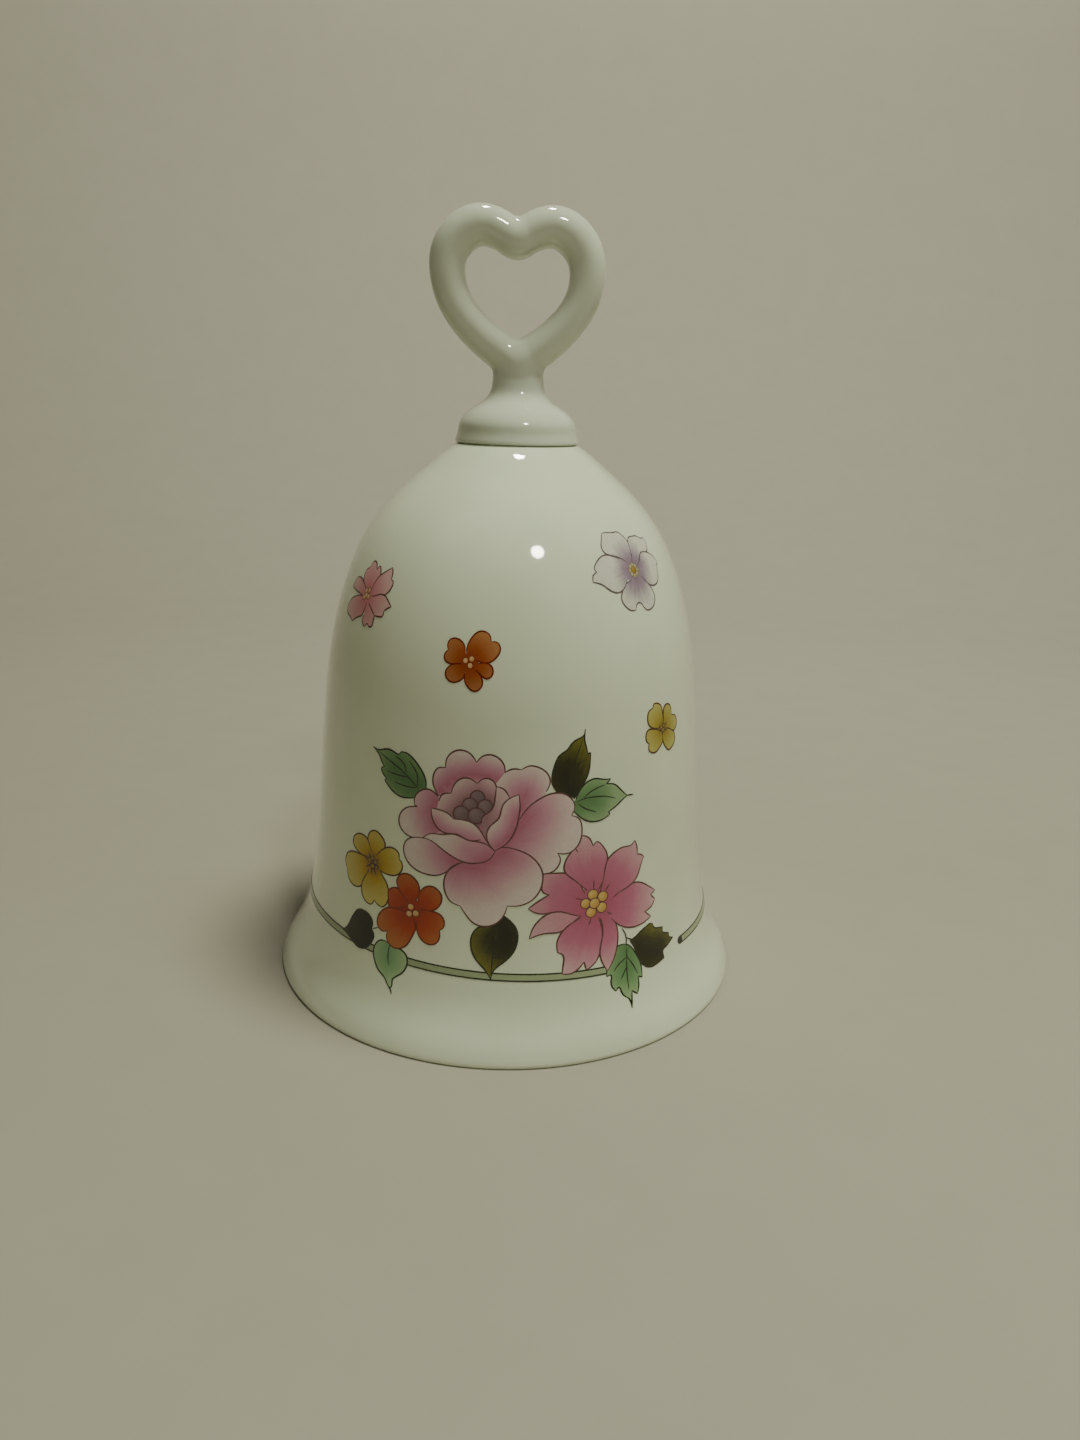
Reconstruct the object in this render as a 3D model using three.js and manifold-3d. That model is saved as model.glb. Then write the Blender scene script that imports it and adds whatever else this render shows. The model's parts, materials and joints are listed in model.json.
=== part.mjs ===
// Porcelain hand bell with a heart handle and a clapper on a short brass chain.
// Millimetres, +Z up. The origin is the centre of the rim's foot, on the table.
// The heart lies in the XZ plane, so its opening looks along Y.

import * as THREE from 'three';
import { mergeVertices } from 'three/addons/utils/BufferGeometryUtils.js';
import Module from 'manifold-3d';

const wasm = await Module();
wasm.setup();

// ---- driving dimensions ----

const CLEARANCE = 0.3; // left between pieces that are cemented or threaded together
const WELD = 1e-4; // points closer than this are one point

// Shell: a bell curve [radius, height], lip to crown, turned about Z.
const SHELL_OUTLINE = [
  [41.95, 0.7], [41.3, 2.3], [39.4, 5.6], [37.7, 9.3], [36.45, 14], [35.6, 19],
  [34.85, 25.2], [34.15, 34], [33.1, 46.7], [31.3, 60.7], [28.5, 71], [24.45, 79.4],
  [19.75, 85], [14.9, 89.2], [10.4, 92.6], [6, 94.5], [2, 95.2],
];
const SHELL_WALL_LIP = 1.8;
const SHELL_WALL_CROWN = 2.7;
const FOOT_OUTER_R = 41.6;
const FOOT_INNER_R = 40.3;
const SHELL_SIDES = 48;
const SHELL_STEPS = 18;
const INNER_START = 0.035; // share of the curve below which the inner wall has reached the foot
const CURVE_SAMPLES = 400; // points on the shell curve when a height is looked up

// Heart: centre line of the right half [x, z], from the lower point to the top notch.
const HEART_HALF = [
  [-0.3, 105.7], [2.9, 107.4], [6.1, 109.8], [8.5, 112.3], [10.35, 115.3], [11.2, 118.9],
  [10.85, 121.7], [8.9, 124.5], [5.5, 126.1], [2.3, 125.5], [-0.3, 124.7],
];
const HEART_TUBE_R = 3.0;
const HEART_STEPS = 22;
const HEART_SIDES = 12;

// Neck and cap [radius, height], from the top of the neck to the cap's lower edge.
const NECK_OUTLINE = [
  [0, 107], [2.4, 106.4], [3.8, 104.7], [4.25, 102.7], [4.65, 100.9], [5.9, 99.4],
  [7.5, 98.2], [8.8, 97], [9.5, 95.5], [9.8, 94.4], [10.35, 93.5], [10.4, 92.95],
];
// Hollow under the cap, from the seam's inner edge up to the axis.
const CAP_HOLLOW = [[7.2, 94.35], [6.7, 95.7], [5.4, 97.4], [3, 98.4], [0, 98.6]];
const CAP_SIDES = 28;

const CEMENT_INNER_R = 4.7;
const CEMENT_OUTER_R = 6.4;
const CEMENT_TOP_Z = 96.1;
const CEMENT_BEVEL = 0.4;

// Hanger: a split pin through the crown, with a washer under its spread legs.
const WIRE_R = 0.55;
const WIRE_SIDES = 8;
const HANGER_STEPS = 44;
const WASHER = { inner: 1.6, outer: 3.7, bottom: 95.5, top: 96.1 };
const HANGER_PIVOT_Z = 87.5; // centre of the wire that the first link hangs on
const HANGER_LOOP_R = 1.9;
const HANGER_LOOP_ARC = [125, 415]; // degrees, from leg to leg by way of the bottom
const HANGER_LOOP_POINTS = 12;
const HANGER_HOLE_Z = 92.6; // where both legs run straight through the crown hole
const HANGER_LEG_X = 0.68;
const HANGER_LEG_Z = WASHER.top + 0.15 + WIRE_R;
const HANGER_LEG_REACH = 4;
const HANGER_BEND = { out: 0.9, down: 0.8 };
const CROWN_HOLE_R = 2;

// Chain: oval links, each turned a quarter from the last.
const LINK_COUNT = 4;
const LINK_LENGTH = 6.5; // between wire centres
const LINK_WIDTH = 3.2;
const HANG = 2 * WIRE_R + 0.15; // from one wire's centre up to the wire that hangs on it
const PITCH = LINK_LENGTH - HANG;
const LINK_STEPS = 13;
const LINK_HALF_ARC = 95; // degrees each half goes round, a little past the middle so that the halves join
const LINK_ARC_POINTS = 5;

// Clapper: a wire pin with an eye, a porcelain ball and a bead that keeps it on.
const PIN_EYE_R = 1.7;
const PIN_EYE_ARC = [-50, 235]; // degrees, from the stem round to the open end
const PIN_EYE_POINTS = 12;
const PIN_NECK = { below: 2.2, bend: 1, aside: 0.1 }; // how the stem leans over into the eye
const PIN_STRAIGHT = [25, 40]; // heights that hold the stem upright
const PIN_PIVOT_Z = HANGER_PIVOT_Z - LINK_COUNT * PITCH;
const PIN_END_Z = 10.9;
const PIN_STEPS = 44;
const BALL_R = 7.5;
const BALL_Z = 22;
const BALL_ROWS = 14;
const BALL_SIDES = 24;
const BALL_BORE_R = WIRE_R + CLEARANCE;
const BEAD_R = 1.6;
const BEAD_HALF_HEIGHT = 1.4;
const BEAD_Z = 12.7;
const BEAD_BEVEL = 0.4;
const BEAD_HALF_BAND = 0.5;
const BEAD_SIDES = 16;

// ---- materials ----

const finish = (color, roughness, metalness) => (
  new THREE.MeshStandardMaterial({ color, roughness, metalness })
);
const glaze = () => finish(0xe9ebe4, 0.12, 0);
const brass = () => finish(0xb48a3c, 0.35, 1);

// ---- helpers ----

// A named body.
const body = (name, geometry, material) => {
  const mesh = new THREE.Mesh(geometry, material);
  mesh.name = name;
  return mesh;
};

// The same geometry with its shared points merged and its spare attributes gone.
const welded = (geometry) => {
  const bare = geometry.clone();
  bare.deleteAttribute('normal');
  bare.deleteAttribute('uv');
  return mergeVertices(bare, WELD);
};

const solid = (geometry) => {
  const merged = welded(geometry);
  return new wasm.Manifold(new wasm.Mesh({
    numProp: 3,
    vertProperties: new Float32Array(merged.attributes.position.array),
    triVerts: new Uint32Array(merged.index.array),
  }));
};

const geometryOf = (manifold) => {
  const { vertProperties, triVerts } = manifold.getMesh();
  const geometry = new THREE.BufferGeometry();
  geometry.setAttribute('position', new THREE.BufferAttribute(vertProperties, 3));
  geometry.setIndex(new THREE.BufferAttribute(triVerts, 1));
  return geometry;
};

// Turns an outline [radius, height] about Z.
const turned = (outline, sides) => {
  const profile = outline.map(([r, z]) => new THREE.Vector2(r, z));
  return new THREE.LatheGeometry(profile, sides).rotateX(Math.PI / 2);
};

// A ring whose section is the closed outline given.
const turnedRing = (outline, sides) => turned([...outline, outline[0]], sides);

// A round rod swept along points [x, y, z].
const rod = (points, radius, sides, steps) => {
  const places = points.map((p) => new THREE.Vector3(...p));
  const path = new THREE.CatmullRomCurve3(places, false, 'centripetal');
  const section = new THREE.Shape();
  section.absarc(0, 0, radius, 0, 2 * Math.PI);
  // Three divides a full circle into twice curveSegments.
  const curveSegments = sides / 2;
  const sweep = { steps, curveSegments, extrudePath: path, bevelEnabled: false };
  return new THREE.ExtrudeGeometry(section, sweep);
};

// Points on a circle in the XZ plane, about (0, z).
const arc = (z, radius, from, to, count) => Array.from({ length: count + 1 }, (_, i) => {
  const a = THREE.MathUtils.degToRad(from + ((to - from) * i) / count);
  return [radius * Math.cos(a), 0, z + radius * Math.sin(a)];
});

const quarterTurn = (points) => points.map(([x, y, z]) => [-y, x, z]);

// ---- shell ----

const shellCurve = new THREE.SplineCurve(SHELL_OUTLINE.map(([r, z]) => new THREE.Vector2(r, z)));

const crownHeight = (radius) => {
  const outer = shellCurve.getPoints(CURVE_SAMPLES);
  const hit = outer.findIndex((p) => p.x < radius);
  return outer[hit].y;
};

const makeShell = () => {
  const outer = [];
  const inner = [];
  for (let i = 0; i <= SHELL_STEPS; i += 1) {
    const t = i / SHELL_STEPS;
    const point = shellCurve.getPointAt(t);
    outer.push([point.x, point.y]);
    const u = INNER_START + (1 - INNER_START) * t;
    const along = shellCurve.getTangentAt(u);
    const wall = THREE.MathUtils.lerp(SHELL_WALL_LIP, SHELL_WALL_CROWN, u);
    const from = shellCurve.getPointAt(u);
    inner.unshift([from.x - wall * along.y, from.y + wall * along.x]);
  }
  inner[0][0] = CROWN_HOLE_R;
  outer[SHELL_STEPS][0] = CROWN_HOLE_R;
  const foot = [[FOOT_INNER_R, 0], [FOOT_OUTER_R, 0]];
  return turnedRing([...inner, ...foot, ...outer], SHELL_SIDES);
};

// ---- handle ----

const makeHandle = () => {
  const half = (side) => solid(rod(
    HEART_HALF.map(([x, z]) => [side * x, 0, z]), HEART_TUBE_R, HEART_SIDES, HEART_STEPS,
  ));
  const outline = [...NECK_OUTLINE, ...CAP_HOLLOW].reverse();
  const neckAndCap = solid(turned(outline, CAP_SIDES));
  return geometryOf(half(1).add(half(-1)).add(neckAndCap));
};

const makeCement = () => turnedRing([
  [CEMENT_INNER_R, crownHeight(CEMENT_INNER_R) + CLEARANCE],
  [CEMENT_OUTER_R, crownHeight(CEMENT_OUTER_R) + CLEARANCE],
  [CEMENT_OUTER_R - CEMENT_BEVEL, CEMENT_TOP_Z],
  [CEMENT_INNER_R, CEMENT_TOP_Z],
], CAP_SIDES);

// ---- hanger, chain and clapper ----

const makeWasher = () => turnedRing([
  [WASHER.inner, WASHER.bottom],
  [WASHER.outer, WASHER.bottom],
  [WASHER.outer, WASHER.top],
  [WASHER.inner, WASHER.top],
], CAP_SIDES);

const makeHanger = () => {
  const leg = (side) => [
    [side * HANGER_LEG_REACH, 0, HANGER_LEG_Z],
    [side * (HANGER_LEG_X + HANGER_BEND.out), 0, HANGER_LEG_Z],
    [side * HANGER_LEG_X, 0, HANGER_LEG_Z - HANGER_BEND.down],
    [side * HANGER_LEG_X, 0, HANGER_HOLE_Z],
  ];
  const loop = arc(HANGER_PIVOT_Z + HANGER_LOOP_R, HANGER_LOOP_R, ...HANGER_LOOP_ARC, HANGER_LOOP_POINTS);
  return rod([...leg(-1), ...loop, ...leg(1).reverse()], WIRE_R, WIRE_SIDES, HANGER_STEPS);
};

// An oval link in the XZ plane, as two welded halves. Its origin is the centre of the wire it hangs on.
const makeLink = () => {
  const r = LINK_WIDTH / 2;
  const half = (side) => {
    const lower = arc(r - PITCH, r, -LINK_HALF_ARC, 0, LINK_ARC_POINTS);
    const upper = arc(HANG - r, r, 0, LINK_HALF_ARC, LINK_ARC_POINTS);
    const path = [...lower, ...upper].map(([x, y, z]) => [side * x, y, z]);
    return solid(rod(path, WIRE_R, WIRE_SIDES, LINK_STEPS));
  };
  return geometryOf(half(1).add(half(-1)));
};

const makePin = () => {
  const eyeCentre = PIN_PIVOT_Z + HANG - PIN_EYE_R;
  const eyeBottom = eyeCentre - PIN_EYE_R;
  const eye = arc(eyeCentre, PIN_EYE_R, ...PIN_EYE_ARC, PIN_EYE_POINTS);
  const stem = [PIN_END_Z, ...PIN_STRAIGHT, eyeBottom - PIN_NECK.below].map((z) => [0, 0, z]);
  const neck = [PIN_NECK.aside, 0, eyeBottom - PIN_NECK.bend];
  return rod(quarterTurn([...stem, neck, ...eye]), WIRE_R, WIRE_SIDES, PIN_STEPS);
};

const makeBall = () => {
  const start = Math.asin(BALL_BORE_R / BALL_R);
  const outline = Array.from({ length: BALL_ROWS + 1 }, (_, i) => {
    const a = Math.PI - start - ((Math.PI - 2 * start) * i) / BALL_ROWS;
    return [BALL_R * Math.sin(a), BALL_Z + BALL_R * Math.cos(a)];
  });
  return turnedRing(outline, BALL_SIDES);
};

const makeBead = () => turnedRing([
  [BALL_BORE_R, BEAD_Z - BEAD_HALF_HEIGHT],
  [BEAD_R - BEAD_BEVEL, BEAD_Z - BEAD_HALF_HEIGHT],
  [BEAD_R, BEAD_Z - BEAD_HALF_BAND],
  [BEAD_R, BEAD_Z + BEAD_HALF_BAND],
  [BEAD_R - BEAD_BEVEL, BEAD_Z + BEAD_HALF_HEIGHT],
  [BALL_BORE_R, BEAD_Z + BEAD_HALF_HEIGHT],
], BEAD_SIDES);

// ---- assembly ----

const group = new THREE.Group();
group.add(body('bell_body', makeShell(), glaze()));
group.add(body('heart_handle', makeHandle(), glaze()));
group.add(body('handle_cement', makeCement(), finish(0xcfc8b8, 0.9, 0)));
group.add(body('anchor_washer', makeWasher(), brass()));
group.add(body('hanger_eye', makeHanger(), brass()));

// The first link crosses the hanger's wire, so odd links lie in the YZ plane.
for (let i = 1; i <= LINK_COUNT; i += 1) {
  const link = body(`chain_link_${i}`, makeLink(), brass());
  link.position.z = HANGER_PIVOT_Z - (i - 1) * PITCH;
  link.rotation.z = i % 2 === 1 ? Math.PI / 2 : 0;
  group.add(link);
}

group.add(body('clapper_pin', makePin(), brass()));
group.add(body('clapper_ball', makeBall(), glaze()));
group.add(body('stop_bead', makeBead(), brass()));

export default group;
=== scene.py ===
"""Porcelain hand bell: glazed shell and heart handle, fired flowers, and a clapper on a brass chain."""

import functools
import json
import math

import bmesh
import bpy
import numpy as np
from mathutils import Matrix, Vector
from mathutils.geometry import delaunay_2d_cdt

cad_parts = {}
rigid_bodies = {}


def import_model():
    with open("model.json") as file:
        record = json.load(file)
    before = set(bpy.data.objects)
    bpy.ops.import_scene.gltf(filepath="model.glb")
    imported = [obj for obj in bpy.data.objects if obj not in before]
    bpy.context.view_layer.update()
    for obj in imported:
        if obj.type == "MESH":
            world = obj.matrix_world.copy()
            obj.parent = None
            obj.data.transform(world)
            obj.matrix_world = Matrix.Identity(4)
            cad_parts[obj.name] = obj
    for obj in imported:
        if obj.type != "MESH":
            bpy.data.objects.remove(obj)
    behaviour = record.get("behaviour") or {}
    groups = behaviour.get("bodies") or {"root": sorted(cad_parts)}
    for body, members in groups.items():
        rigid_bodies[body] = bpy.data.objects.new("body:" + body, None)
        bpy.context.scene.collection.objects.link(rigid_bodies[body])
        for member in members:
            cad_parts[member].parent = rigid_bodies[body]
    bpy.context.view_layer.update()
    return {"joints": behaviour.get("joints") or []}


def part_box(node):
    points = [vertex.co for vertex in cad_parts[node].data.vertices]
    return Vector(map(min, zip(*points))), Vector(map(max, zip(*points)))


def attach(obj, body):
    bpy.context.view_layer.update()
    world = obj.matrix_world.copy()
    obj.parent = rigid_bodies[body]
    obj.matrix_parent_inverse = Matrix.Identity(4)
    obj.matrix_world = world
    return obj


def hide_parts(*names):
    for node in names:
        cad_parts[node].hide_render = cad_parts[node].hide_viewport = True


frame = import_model()
for leftover in [o for o in bpy.context.scene.objects if o.name in ("Camera", "Cube", "Light")]:
    bpy.data.objects.remove(leftover)

MM = 0.001  # every size below is in millimetres, and meshes are made in metres


# ---------------------------------------------------------------- camera

CAMERA_PLACE = (-1.34, -186.9, 102.2)
CAMERA_TURN = (2.02, 17.2, 1.7)  # degrees to the right, downwards, and rolled
SENSOR_WIDTH, FOCAL_LENGTH = 36, 27.05


def set_up_camera():
    """A hand-held wide lens at the height of the handle's neck, tilted down towards the shell."""
    yaw, down, roll = (math.radians(angle) for angle in CAMERA_TURN)
    look = Vector((math.sin(yaw) * math.cos(down), math.cos(yaw) * math.cos(down), -math.sin(down)))
    level = Vector((math.cos(yaw), -math.sin(yaw), 0))
    over = level.cross(look)
    right = level * math.cos(roll) + over * math.sin(roll)
    up = over * math.cos(roll) - level * math.sin(roll)
    lens = bpy.data.cameras.new("camera")
    lens.sensor_width = SENSOR_WIDTH
    lens.lens = FOCAL_LENGTH
    lens.clip_start = 0.01
    camera = bpy.data.objects.new("camera", lens)
    x, y, z = (c * MM for c in CAMERA_PLACE)
    camera.matrix_world = Matrix((
        (right.x, up.x, -look.x, x),
        (right.y, up.y, -look.y, y),
        (right.z, up.z, -look.z, z),
        (0, 0, 0, 1),
    ))
    bpy.context.scene.collection.objects.link(camera)
    bpy.context.scene.camera = camera


set_up_camera()


# ---------------------------------------------------------------- materials

class Flow:
    """A value on its way through a finish. Arithmetic on it adds Math nodes."""

    def __init__(self, finish, socket):
        self.finish = finish
        self.socket = socket

    def sum(self, operation, *values):
        return self.finish.node("ShaderNodeMath", {"operation": operation}, dict(enumerate(values)))

    def __add__(self, other):
        return self.sum("ADD", self, other)

    def __radd__(self, other):
        return self.sum("ADD", other, self)

    def __sub__(self, other):
        return self.sum("SUBTRACT", self, other)

    def __rsub__(self, other):
        return self.sum("SUBTRACT", other, self)

    def __mul__(self, other):
        return self.sum("MULTIPLY", self, other)

    def __rmul__(self, other):
        return self.sum("MULTIPLY", other, self)

    def above(self, low, high):
        """0 under low, 1 over high, and smooth between them."""
        inputs = {"Value": self, "From Min": low, "From Max": high}
        return self.finish.node("ShaderNodeMapRange", {"interpolation_type": "SMOOTHSTEP"}, inputs)


class Finish:
    """A material made from nodes, with one Principled shader at its end."""

    def __init__(self, name, **constants):
        self.material = bpy.data.materials.new(name)
        self.material.use_nodes = True
        self.nodes = self.material.node_tree.nodes
        self.links = self.material.node_tree.links
        self.nodes.clear()
        self.shader = self.nodes.new("ShaderNodeBsdfPrincipled")
        output = self.nodes.new("ShaderNodeOutputMaterial")
        self.links.new(self.shader.outputs[0], output.inputs[0])
        for key, value in constants.items():
            self.shader.inputs[key.replace("_", " ")].default_value = value

    def node(self, kind, settings=None, inputs=None, out=0):
        """Any other node: its settings first, then the values or links of its sockets."""
        made = self.nodes.new(kind)
        for key, value in (settings or {}).items():
            if key == "stops":
                self.set_stops(made.color_ramp.elements, value)
            else:
                setattr(made, key, value)
        for key, value in (inputs or {}).items():
            if isinstance(value, Flow):
                self.links.new(value.socket, made.inputs[key])
            else:
                made.inputs[key].default_value = value
        return Flow(self, made.outputs[out])

    @staticmethod
    def set_stops(elements, stops):
        while len(elements) < len(stops):
            elements.new(1)
        for element, (place, colour) in zip(elements, stops):
            element.position = place
            element.color = (*colour, 1)

    def put(self, socket, flow):
        self.links.new(flow.socket, self.shader.inputs[socket])

    def place(self):
        return self.node("ShaderNodeTexCoord", out=3)

    def noise(self, size, detail):
        """Smooth noise from 0 to 1 whose lumps are about size millimetres across."""
        inputs = {"Vector": self.place(), "Scale": 1 / (size * MM), "Detail": detail}
        return self.node("ShaderNodeTexNoise", inputs=inputs)

    def blend(self, low, high, amount):
        """Colour low where amount is 0 and high where it is 1."""
        low, high = (colour if isinstance(colour, Flow) else (*colour, 1) for colour in (low, high))
        return self.node("ShaderNodeMix", {"data_type": "RGBA"}, {0: amount, 6: low, 7: high}, out=2)

    def relief(self, height, depth):
        """A bump of that depth in millimetres, from a height of 0 to 1."""
        inputs = {"Height": height, "Distance": depth * MM, "Strength": 1.0}
        self.put("Normal", self.node("ShaderNodeBump", inputs=inputs))


def clear_glaze(name, tint, shade):
    """White porcelain under a thick clear glaze: cloudy in depth, softly rippled, with a rare dark speck."""
    finish = Finish(
        name, IOR=1.52, Coat_Weight=1.0, Coat_Roughness=0.015, Coat_IOR=1.5,
        Subsurface_Weight=0.12, Subsurface_Radius=(1.0, 0.9, 0.75), Subsurface_Scale=1.2 * MM,
    )
    cloud = finish.noise(16, 3).above(0.35, 0.7)
    body = finish.blend(tint, shade, cloud)
    speck = finish.node("ShaderNodeTexVoronoi", inputs={"Vector": finish.place(), "Scale": 1 / (9 * MM)})
    iron = 1 - speck.above(0.006, 0.016)
    finish.put("Base Color", finish.blend(body, (0.35, 0.30, 0.22), iron * 0.7))
    finish.put("Roughness", finish.noise(5, 2) * 0.04 + 0.04)
    ripple = finish.noise(11, 1.5) * 0.8 + finish.noise(1.4, 1) * 0.06
    finish.relief(ripple, 0.035)
    return finish.material


def bare_clay(name, tint):
    """Unglazed porcelain, ground flat: chalky and finely grained, with a little table dirt."""
    finish = Finish(name)
    grain = finish.noise(0.35, 4)
    dirt = finish.noise(6, 4).above(0.5, 0.75)
    finish.put("Base Color", finish.blend(tint, (0.52, 0.48, 0.41), dirt * 0.6))
    finish.put("Roughness", grain * 0.2 + 0.65)
    finish.relief(grain, 0.05)
    return finish.material


def brass_wire(name, tint, dulled):
    """Drawn brass: fine lines along the wire, darker where it has tarnished."""
    finish = Finish(name, Metallic=1.0)
    drawn = finish.noise(0.25, 3)
    tarnish = finish.noise(2.2, 4).above(0.42, 0.72)
    finish.put("Base Color", finish.blend(tint, dulled, tarnish))
    finish.put("Roughness", tarnish * 0.22 + drawn * 0.1 + 0.2)
    finish.relief(drawn, 0.01)
    return finish.material


def cement(name):
    finish = Finish(name)
    lumps = finish.noise(0.9, 5)
    finish.put("Base Color", finish.blend((0.66, 0.62, 0.54), (0.48, 0.45, 0.38), lumps))
    finish.put("Roughness", lumps * 0.2 + 0.75)
    finish.relief(lumps, 0.25)
    return finish.material


def enamel(name, heart, middle, edge, turn, mottle=0.16, far=1.0):
    """Fired enamel, airbrushed from heart to edge. The petal attribute says how far out each point lies.

    The colour is middle at the share turn of the way out, and edge from the share far onwards."""
    finish = Finish(name, IOR=1.5, Coat_Weight=0.2, Coat_Roughness=0.05)
    petal = finish.node("ShaderNodeAttribute", {"attribute_name": "petal"}, out=1)
    parts = finish.node("ShaderNodeSeparateXYZ", inputs={0: petal})
    fan = finish.node("ShaderNodeVectorMath", {"operation": "MULTIPLY"}, {0: petal, 1: (1.6, 8, 8)})
    streak = finish.node("ShaderNodeTexNoise", inputs={"Vector": fan, "Scale": 1.0, "Detail": 2.0})
    cloud = finish.noise(2.6, 3)
    out = parts + (cloud - 0.5) * mottle + (streak - 0.5) * mottle
    stops = [(0.0, heart), (turn, middle), (far, edge)]
    wash = finish.node("ShaderNodeValToRGB", {"stops": stops}, {0: out})
    dots = finish.noise(0.22, 1).above(0.45, 0.75)
    grained = finish.blend(wash, [c * 0.82 for c in middle], dots * 0.22)
    finish.put("Base Color", grained)
    finish.put("Roughness", dots * 0.08 + 0.12)
    finish.relief(finish.noise(0.5, 2), 0.012)
    return finish.material


def ink(name, tint, thin):
    """The printed outline, thinner in places."""
    finish = Finish(name, IOR=1.5, Coat_Weight=0.3, Coat_Roughness=0.06)
    worn = finish.noise(0.9, 3).above(0.45, 0.8)
    finish.put("Base Color", finish.blend(tint, thin, worn))
    finish.put("Roughness", worn * 0.1 + 0.18)
    return finish.material


def matt_paint(name, tint):
    finish = Finish(name)
    grain = finish.noise(14, 5)
    finish.put("Base Color", finish.blend(tint, [c * 0.94 for c in tint], grain))
    finish.put("Roughness", grain * 0.1 + 0.75)
    return finish.material


GLAZE = clear_glaze("shell_glaze", (0.76, 0.81, 0.66), (0.72, 0.78, 0.615))
# the handle's glaze is the shell's porcelain painted darker: painted shade, for the less light that falls on
# the heart and neck
SHADED_HANDLE_GLAZE = clear_glaze("handle_glaze_painted_shade", (0.66, 0.70, 0.585), (0.62, 0.66, 0.545))
BALL_GLAZE = clear_glaze("ball_glaze", (0.79, 0.80, 0.75), (0.75, 0.76, 0.70))
CLAY = bare_clay("bare_porcelain", (0.74, 0.72, 0.66))
BRASS = brass_wire("brass_wire", (0.74, 0.54, 0.24), (0.42, 0.27, 0.10))
CEMENT = cement("fixing_cement")


# ---------------------------------------------------------------- meshes

def mesh_piece(name, points, faces, materials, body="bell"):
    """A mesh object from points in millimetres, riding on a body."""
    mesh = bpy.data.meshes.new(name)
    mesh.from_pydata([tuple(p) for p in np.asarray(points) * MM], [], faces)
    for material in materials:
        mesh.materials.append(material)
    piece = bpy.data.objects.new(name, mesh)
    bpy.context.scene.collection.objects.link(piece)
    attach(piece, body)
    return piece


def smooth_with_edges(piece, angle=35):
    piece.data.shade_smooth()
    piece.data.set_sharp_from_angle(angle=math.radians(angle))


def spline_through(points, count):
    """count points on a curve of even bend through the points, spaced evenly by the chord."""
    points = np.asarray(points, float)
    chord = np.concatenate([[0], np.cumsum(np.linalg.norm(np.diff(points, axis=0), axis=1))])
    step = np.diff(chord)
    n = len(points)
    matrix = np.eye(n)
    right = np.zeros_like(points)
    for i in range(1, n - 1):
        matrix[i, i - 1:i + 2] = step[i - 1], 2 * (step[i - 1] + step[i]), step[i]
        right[i] = 6 * ((points[i + 1] - points[i]) / step[i] - (points[i] - points[i - 1]) / step[i - 1])
    bend = np.linalg.solve(matrix, right)
    at = np.linspace(0, chord[-1], count)
    k = np.clip(np.searchsorted(chord, at, side="right") - 1, 0, n - 2)
    h = step[k][:, None]
    b = (at[:, None] - chord[k][:, None]) / h
    a = 1 - b
    curve = (a ** 3 - a) * bend[k] + (b ** 3 - b) * bend[k + 1]
    return a * points[k] + b * points[k + 1] + curve * h * h / 6


def eased_corners(outline, radius):
    """The closed outline with each corner rounded, as far as its sides allow."""
    eased = []
    count = len(outline)
    for i in range(count):
        before, corner, after = (np.array(outline[(i + k) % count], float) for k in (-1, 0, 1))
        to_before, to_after = before - corner, after - corner
        back, ahead = np.linalg.norm(to_before), np.linalg.norm(to_after)
        reach = min(radius, 0.45 * back, 0.45 * ahead)
        start, end = corner + to_before / back * reach, corner + to_after / ahead * reach
        for t in (0, 0.25, 0.5, 0.75, 1):
            eased.append((1 - t) ** 2 * start + 2 * t * (1 - t) * corner + t * t * end)
    return eased


def turned(outline, sides, closed=True):
    """Points and faces of a closed outline [radius, height] turned about Z."""
    outline = np.asarray(outline)
    rows = len(outline)
    angle = np.arange(sides) * 2 * math.pi / sides
    points = np.stack([
        outline[:, 0, None] * np.sin(angle), -outline[:, 0, None] * np.cos(angle),
        np.repeat(outline[:, 1, None], sides, axis=1),
    ], axis=-1).reshape(-1, 3)
    faces = []
    for i in range(rows if closed else rows - 1):
        below, above = i * sides, (i + 1) % rows * sides
        for j in range(sides):
            k = (j + 1) % sides
            faces.append((below + j, below + k, above + k, above + j))
    return points, faces


def bent_rod(path, radius, sides=20, round_ends=True):
    """A round wire along a path, its ends slightly domed if wanted. The section never twists."""
    path = np.asarray(path, float)
    along = np.gradient(path, axis=0)
    along /= np.linalg.norm(along, axis=1)[:, None]
    side = np.cross(along[0], (0.3, 0.5, 0.8))
    rings, radii = [], np.full(len(path), radius)
    if round_ends:
        dome = [0.35, 0.75, 0.94]
        path = np.vstack([np.repeat(path[:1], 3, 0), path, np.repeat(path[-1:], 3, 0)])
        along = np.vstack([np.repeat(along[:1], 3, 0), along, np.repeat(along[-1:], 3, 0)])
        for i, share in enumerate(dome):
            out = radius * 0.4 * math.sqrt(1 - share ** 2)
            path[i] -= along[i] * out
            path[-1 - i] += along[-1 - i] * out
        radii = np.concatenate([radius * np.array(dome), radii, radius * np.array(dome[::-1])])
    angle = np.arange(sides) * 2 * math.pi / sides
    for centre, forward, r in zip(path, along, radii):
        side = side - forward * np.dot(side, forward)
        side /= np.linalg.norm(side)
        up = np.cross(forward, side)
        rings.append(centre + r * (np.cos(angle)[:, None] * side + np.sin(angle)[:, None] * up))
    faces = [tuple(range(sides - 1, -1, -1))]
    for i in range(len(rings) - 1):
        for j in range(sides):
            k = (j + 1) % sides
            faces.append((i * sides + j, i * sides + k, (i + 1) * sides + k, (i + 1) * sides + j))
    faces.append(tuple((len(rings) - 1) * sides + j for j in range(sides)))
    return np.vstack(rings), faces


# ---------------------------------------------------------------- shell

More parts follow.
